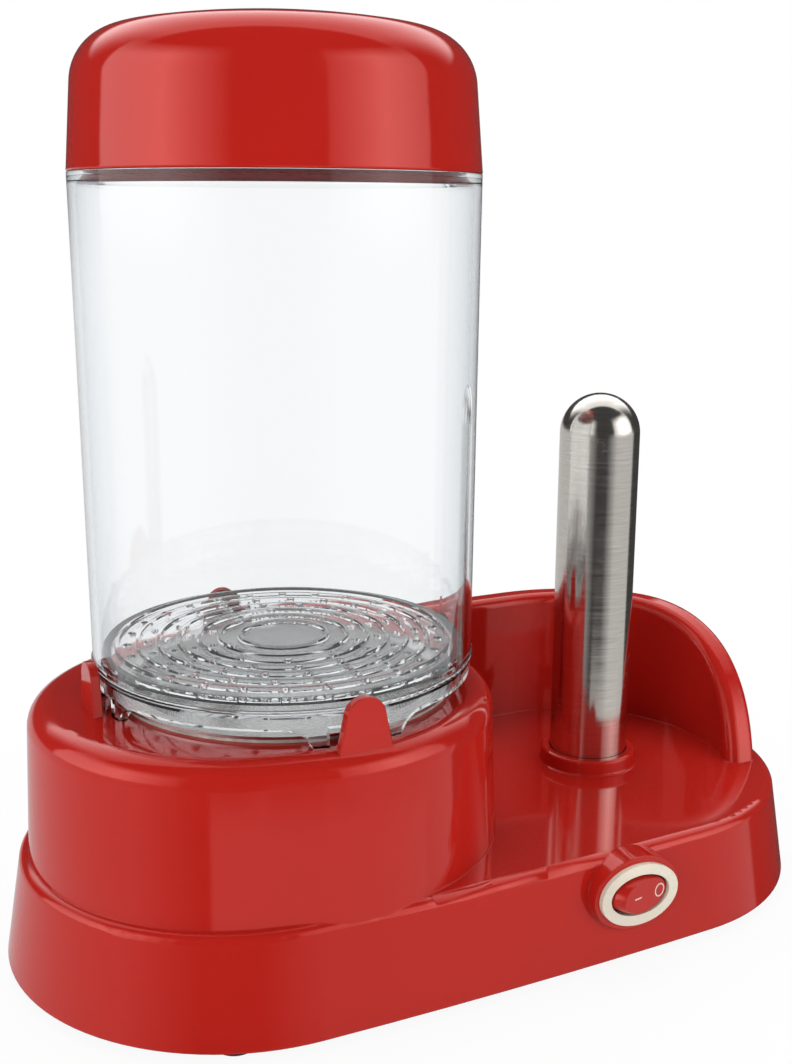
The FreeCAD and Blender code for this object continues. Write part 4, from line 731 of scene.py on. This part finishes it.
# %% Feet and screws
FOOT_NODES = ["foot_front_left", "foot_back_left", "foot_front_right", "foot_back_right"]
SOLE_CUP_DEPTH = 0.5 * MM
SOLE_ROUND = 1.0 * MM
# How far a point lies inside the foot's edge, and its height, in millimetres.
SOLE_STEPS = ((3.0, 0.5), (2.6, 0.35), (2.3, 0.0), (1.0, 0.0))
PAD_DROP = 0.3 * MM
PAD_INSET = 0.25 * MM
STEM_RADIUS = 2.6 * MM
BARB_REACH = 0.7 * MM
BARB_SIDE = (0.6 * MM, 0.4 * MM)
TIP_SIDE = (0.8 * MM, 0.2 * MM)
TIP_FLAT_INSET = 1.2 * MM


def foot_outline():
    low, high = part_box(FOOT_NODES[0])
    radius = (high[0] - low[0]) / 2
    sole = [(0.0, SOLE_CUP_DEPTH)]
    sole += [(radius - inset * MM, height * MM) for inset, height in SOLE_STEPS]
    sole += round_foot((radius - SOLE_ROUND, SOLE_ROUND), SOLE_ROUND, 1)
    pad_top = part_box("bottom_cover")[0][2]
    cover_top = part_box("bottom_cover")[1][2]
    sole += [(radius, pad_top - PAD_DROP), (radius - PAD_INSET, pad_top),
             (STEM_RADIUS, pad_top), (STEM_RADIUS, cover_top),
             (STEM_RADIUS + BARB_REACH, cover_top),
             (STEM_RADIUS + BARB_SIDE[0], cover_top + BARB_SIDE[1]),
             (STEM_RADIUS - TIP_SIDE[0], high[2] - TIP_SIDE[1]),
             (STEM_RADIUS - TIP_FLAT_INSET, high[2]), (0.0, high[2])]
    return sole


def flat_middle(node):
    middle = middle_of(node)
    return Vector((middle[0], middle[1], 0.0))


FOOT_PLACES = [flat_middle(node) for node in FOOT_NODES]
FEET = turned_piece("rubber_feet", foot_outline(), FOOT_PLACES, FOOT_RUBBER, Segments=48)
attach(FEET, "base")
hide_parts(*FOOT_NODES)


def screw_places():
    """The middle of each screw, from the solid's points sorted by corner of its box."""
    solid = frame["nodes"]["cover_screws"]
    middle = middle_of("cover_screws")
    corners = {}
    for vertex in solid.data.vertices:
        key = (vertex.co[0] > middle[0], vertex.co[1] > middle[1])
        corners.setdefault(key, []).append(vertex.co)
    places = []
    for points in corners.values():
        x = [point[0] for point in points]
        y = [point[1] for point in points]
        places.append(Vector(((min(x) + max(x)) / 2, (min(y) + max(y)) / 2, 0.0)))
    return places


HEAD_RADIUS = 2.8 * MM
HEAD_HEIGHT = 1.6 * MM
# How far a point lies inside the head's edge, and its height, in millimetres.
HEAD_STEPS = ((1.1, 0.05), (0.5, 0.25), (0.12, 0.7), (0.0, 1.2))
SHANK_RADIUS = 1.25 * MM
THREAD_PITCH = 1.1 * MM
THREAD_DEPTH = 0.25 * MM
PLAIN_SHANK = 1.0 * MM
PLAIN_TIP = 1.6 * MM
TIP_INSET = 0.3 * MM
TIP_CONE = 0.8 * MM


def screw_outline():
    low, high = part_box("cover_screws")
    bearing = low[2] + HEAD_HEIGHT
    outline = [(0.0, low[2])]
    outline += [(HEAD_RADIUS - inset * MM, low[2] + height * MM) for inset, height in HEAD_STEPS]
    outline += [(HEAD_RADIUS, bearing), (SHANK_RADIUS, bearing)]
    z = bearing + PLAIN_SHANK
    while z < high[2] - PLAIN_TIP:
        outline += [(SHANK_RADIUS - THREAD_DEPTH, z), (SHANK_RADIUS, z + THREAD_PITCH / 2)]
        z += THREAD_PITCH
    outline += [(SHANK_RADIUS - TIP_INSET, high[2] - TIP_CONE), (0.0, high[2])]
    return outline


SCREWS = turned_piece("slotted_screws", screw_outline(), screw_places(), METAL["screw_steel"],
                      Segments=32, Slot_Length=3.6 * MM, Slot_Width=0.8 * MM,
                      Slot_Depth=0.9 * MM, Slot_Face=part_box("cover_screws")[0][2])
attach(SCREWS, "base")
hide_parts("cover_screws")

# %% [markdown]
# The rocker's flat face carries two raised marks, a bar and a ring, for on and off. They
# are drawn flat, given a little depth, and turned with the face, which rests at the
# slope the solid has. They ride on the rocker, so they move when it is pressed.

# %% Marks on the rocker
ROCKER_SLOPE = math.radians(12.0)
FACE_DEPTH = 5.6 * MM
MARK_LINE = 0.4 * MM
MARK_STAND = 0.05 * MM
RING_PLACE = 5.9 * MM
RING_HALF_WIDTH = 2.0 * MM
RING_HALF_HEIGHT = 2.1 * MM
RING_STEPS = 48
BAR_LEFT = -4.5 * MM
BAR_RIGHT = -1.8 * MM


def to_face(across, up, out):
    """A point of the rocker's face, from its middle, in the object's own frame."""
    flat = Vector((across, -(FACE_DEPTH + out), up))
    return ROCKER_AXIS + Matrix.Rotation(ROCKER_SLOPE, 3, "Z") @ flat


def join_loops(shape, first, second):
    """A closed band of faces between two loops of points."""
    count = len(first)
    for step in range(count):
        following = (step + 1) % count
        shape.faces.new((first[step], first[following], second[following], second[step]))


def add_ring(shape):
    loops = []
    angles = [FULL_TURN * step / RING_STEPS for step in range(RING_STEPS)]
    for half_width, half_height in ((RING_HALF_WIDTH, RING_HALF_HEIGHT),
                                    (RING_HALF_WIDTH - MARK_LINE, RING_HALF_HEIGHT - MARK_LINE)):
        for out in (MARK_STAND, -MARK_STAND):
            loops.append([shape.verts.new(to_face(RING_PLACE + half_width * math.cos(angle),
                                                  half_height * math.sin(angle), out))
                          for angle in angles])
    outer_front, outer_back, inner_front, inner_back = loops
    join_loops(shape, outer_front, outer_back)
    join_loops(shape, outer_back, inner_back)
    join_loops(shape, inner_back, inner_front)
    join_loops(shape, inner_front, outer_front)


def add_bar(shape):
    half = MARK_LINE / 2
    corners = [(BAR_LEFT, -half), (BAR_RIGHT, -half), (BAR_RIGHT, half), (BAR_LEFT, half)]
    front = [shape.verts.new(to_face(across, up, MARK_STAND)) for across, up in corners]
    back = [shape.verts.new(to_face(across, up, -MARK_STAND)) for across, up in corners]
    shape.faces.new(front)
    shape.faces.new(back[::-1])
    for step in range(4):
        following = (step + 1) % 4
        shape.faces.new((front[step], back[step], back[following], front[following]))


def make_marks():
    shape = bmesh.new()
    add_ring(shape)
    add_bar(shape)
    bmesh.ops.recalc_face_normals(shape, faces=shape.faces)
    mesh = bpy.data.meshes.new("rocker_marks")
    shape.to_mesh(mesh)
    shape.free()
    mesh.materials.append(PLASTIC["mark_white"])
    piece = bpy.data.objects.new("rocker_marks", mesh)
    bpy.context.scene.collection.objects.link(piece)
    return piece


MARKS = make_marks()
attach(MARKS, "rocker_body")
print("marks", len(MARKS.data.polygons), "faces")

# %% [markdown]
# The floor is a pale sheet. Seen by the camera it is almost white near the object, with
# the object's own soft shadow on it, and it turns to pure white further off, where it
# runs into the backdrop with no horizon. It is hidden from mirror rays, so that the
# gloss shows the studio's soft boxes down to the foot of the shell.

# %% Floor
SHADOW_REACH = (0.15, 0.42)
NEAR_WHITE = 0.92
FLOOR_REACH = 6.0
FLOOR_GREY = 0.86
PURE_WHITE = colour(1.0, 1.0, 1.0)


def seen_directly(tree):
    """1 for what the camera sees, straight or through clear plastic."""
    path = add(tree, "ShaderNodeLightPath").outputs
    return maths(tree, "MAXIMUM", path["Is Camera Ray"], path["Is Transmission Ray"])


def mix_shaders(tree, factor, first, second, output_kind):
    mixed = add(tree, "ShaderNodeMixShader", Fac=factor)
    tree.links.new(first.outputs[0], mixed.inputs[1])
    tree.links.new(second.outputs[0], mixed.inputs[2])
    output = add(tree, output_kind)
    tree.links.new(mixed.outputs[0], output.inputs[0])


def make_floor():
    mesh = bpy.data.meshes.new("floor")
    signs = [(-1, -1), (1, -1), (1, 1), (-1, 1)]
    corners = [(x * FLOOR_REACH, y * FLOOR_REACH, 0) for x, y in signs]
    mesh.from_pydata(corners, [], [(0, 1, 2, 3)])
    floor = bpy.data.objects.new("floor", mesh)
    bpy.context.scene.collection.objects.link(floor)
    material = bpy.data.materials.new("floor_white")
    material.use_nodes = True
    tree = material.node_tree
    tree.nodes.clear()
    matt = add(tree, "ShaderNodeBsdfDiffuse", Color=colour(FLOOR_GREY, FLOOR_GREY, FLOOR_GREY))
    white = add(tree, "ShaderNodeEmission", Color=PURE_WHITE)
    seen = seen_directly(tree)
    place = add(tree, "ShaderNodeTexCoord").outputs["Object"]
    reach = add(tree, "ShaderNodeVectorMath", {"operation": "LENGTH"}, Vector=place)
    share = remap(tree, reach.outputs["Value"], *SHADOW_REACH, NEAR_WHITE, 1.0, smooth=True)
    mix_shaders(tree, times(tree, seen, share), matt, white, "ShaderNodeOutputMaterial")
    mesh.materials.append(material)
    floor.visible_glossy = False
    return floor


FLOOR = make_floor()
print("floor", FLOOR.name, "reaches", FLOOR_REACH, "m each way")

# %% [markdown]
# The camera stands where the picture was taken from: in front, a little to the left, and
# above the cup's middle. Its place and angles came from the object's own edges, and the
# picture needs no shift. The long side of the frame sets the lens.

# %% Camera
CAMERA_YAW = math.radians(-26.003)
CAMERA_PITCH = math.radians(13.313)
CAMERA_ROLL = math.radians(0.291)
CAMERA_PLACE = Vector((-0.18659, -0.36385, 0.21710))
CAMERA_LENS = 46.04
SENSOR_WIDTH = 36.0


def make_camera():
    data = bpy.data.cameras.new("camera")
    data.sensor_width = SENSOR_WIDTH
    data.lens = CAMERA_LENS
    camera = bpy.data.objects.new("camera", data)
    bpy.context.scene.collection.objects.link(camera)
    upright = Matrix.Rotation(math.radians(90) - CAMERA_PITCH, 4, "X")
    camera.matrix_world = (Matrix.Translation(CAMERA_PLACE) @ Matrix.Rotation(CAMERA_YAW, 4, "Z")
                           @ upright @ Matrix.Rotation(CAMERA_ROLL, 4, "Z"))
    bpy.context.scene.camera = camera
    return camera


CAMERA = make_camera()
print("camera at", [round(v, 3) for v in CAMERA.location])

# %% [markdown]
# Gloss plastic shows its surroundings, so the light is designed as what the plastic
# should reflect. The world holds two soft boxes left and right of the camera, each
# brightest in its middle, a bright strip that arches overhead from behind, and near
# darkness between them. Below the horizon lies the pale table, which is much dimmer but
# for one lit sheet right in front, which shows in the spike's foot. The camera itself,
# and what it sees through the clear cup, look at plain white.

# %% World
BOX_LEVEL = 2.75
LOW_LEVEL = 0.58
STRIP_LEVEL = 2.0
PAPER_LEVEL = 0.8
GAP_LEVEL = 0.06

# All angles are in degrees. Angles round the object are 0 at the camera and grow to the
# right. A pair is where something starts and where it is full, or its two ends.
LEFT_BOX = {"near": -18.5, "near_share": 0.0, "peak": -58.0, "far": -104.0, "far_share": 0.5,
            "ends": (-104.0, -18.0)}
RIGHT_BOX = {"near": 33.0, "near_share": 0.2, "peak": 66.5, "far": 97.0, "far_share": 0.36,
             "ends": (33.0, 97.0)}
BOX_EDGE = 1.5
BOX_TOP = (45.0, 29.0)
HORIZON = (-4.0, 3.0)
LOW_LEFT = (-12.0, -50.0)
LOW_RIGHT = (16.0, 45.0)
LOW_RIGHT_END = (105.0, 103.0)
PAPER_ENDS = (-8.0, 84.0)
PAPER_EDGE = 2.0
PAPER_TOP = (-18.5, -21.0)
STRIP_ENDS = (31.0, 90.0)
STRIP_EDGE = 3.0
STRIP_FADE = (40.0, 80.0)
STRIP_FAR_SHARE = 0.55
STRIP_SIDES = (0.5, 0.85)


def window(tree, value, low, high, soft):
    """1 between two limits, fading to 0 over a soft edge."""
    rise = remap(tree, value, low - soft, low + soft, smooth=True)
    fall = remap(tree, value, high - soft, high + soft, 1.0, 0.0, smooth=True)
    return times(tree, rise, fall)


def soft_box(tree, angle, near, near_share, peak, far, far_share, ends):
    """Full at its peak, and falling off to a share at the near and the far side."""
    near_side = remap(tree, angle, near, peak, near_share)
    far_side = remap(tree, angle, far, peak, far_share)
    slope = maths(tree, "MINIMUM", near_side, far_side)
    return times(tree, slope, window(tree, angle, *ends, BOX_EDGE))


def make_world():
    world = bpy.data.worlds.new("studio")
    bpy.context.scene.world = world
    world.use_nodes = True
    tree = world.node_tree
    tree.nodes.clear()
    ray = add(tree, "ShaderNodeTexCoord").outputs["Generated"]
    turned = add(tree, "ShaderNodeVectorRotate", {"rotation_type": "Z_AXIS"}, Vector=ray,
                 Angle=-CAMERA_YAW)
    parts = add(tree, "ShaderNodeSeparateXYZ", Vector=turned.outputs[0]).outputs
    towards = times(tree, parts[1], -1.0)
    round_angle = maths(tree, "DEGREES", maths(tree, "ARCTAN2", parts[0], towards))
    height = maths(tree, "DEGREES", maths(tree, "ARCSINE", parts[2]))
    left = soft_box(tree, round_angle, **LEFT_BOX)
    right = soft_box(tree, round_angle, **RIGHT_BOX)
    boxes = times(tree, maths(tree, "ADD", left, right), remap(tree, height, *BOX_TOP))
    boxes = times(tree, boxes, remap(tree, height, *HORIZON, smooth=True))
    low_left = remap(tree, round_angle, *LOW_LEFT)
    low_right = times(tree, remap(tree, round_angle, *LOW_RIGHT),
                      remap(tree, round_angle, *LOW_RIGHT_END))
    low = times(tree, maths(tree, "ADD", low_left, low_right),
                remap(tree, height, *HORIZON[::-1], smooth=True))
    paper = times(tree, window(tree, round_angle, *PAPER_ENDS, PAPER_EDGE),
                  remap(tree, height, *PAPER_TOP))
    arch = maths(tree, "DEGREES", maths(tree, "ARCTAN2", parts[2], parts[1]))
    sideways = maths(tree, "ABSOLUTE", parts[0])
    strip = times(tree, window(tree, arch, *STRIP_ENDS, STRIP_EDGE),
                  remap(tree, sideways, *STRIP_SIDES, 1.0, 0.0, smooth=True))
    strip = times(tree, strip, remap(tree, arch, *STRIP_FADE, 1.0, STRIP_FAR_SHARE))
    level = raised(tree, GAP_LEVEL, boxes, BOX_LEVEL)
    level = raised(tree, level, low, LOW_LEVEL)
    level = maths(tree, "MAXIMUM", level, times(tree, paper, PAPER_LEVEL))
    level = raised(tree, level, strip, STRIP_LEVEL)
    seen = seen_directly(tree)
    studio = add(tree, "ShaderNodeBackground", Color=PURE_WHITE, Strength=level)
    white = add(tree, "ShaderNodeBackground", Color=PURE_WHITE, Strength=1.0)
    mix_shaders(tree, seen, studio, white, "ShaderNodeOutputWorld")
    return world


STUDIO = make_world()
bpy.context.scene.view_settings.view_transform = "Standard"
print("world", STUDIO.name, "nodes", len(STUDIO.node_tree.nodes))

# %% [markdown]
# The world alone is a little dim for a matt surface. Three wide lamps lift it evenly, at
# a level where a colour comes out about as it was written. They are hidden from mirror
# rays, so they add light and soft shadows but no extra reflections.

# %% Lamps
LAMP_POWER = 9.0
AIM_POINT = Vector((0.0, 0.0, 0.1))


def lamp(name, place, size):
    data = bpy.data.lights.new(name, "AREA")
    data.shape = "RECTANGLE"
    data.size, data.size_y = size
    data.energy = LAMP_POWER
    holder = bpy.data.objects.new(name, data)
    bpy.context.scene.collection.objects.link(holder)
    holder.location = place
    aim = AIM_POINT - Vector(place)
    holder.rotation_mode = "QUATERNION"
    holder.rotation_quaternion = aim.to_track_quat("-Z", "Y")
    holder.visible_glossy = False
    holder.visible_camera = False
    holder.visible_transmission = False
    return holder


LAMPS = [
    lamp("lamp_left", (-1.5, -0.9, 0.9), (1.2, 1.2)),
    lamp("lamp_front", (0.5, -1.8, 0.9), (1.4, 1.0)),
    lamp("lamp_top", (0.2, 0.4, 1.8), (1.6, 1.6)),
]
print("lamps", [holder.name for holder in LAMPS])
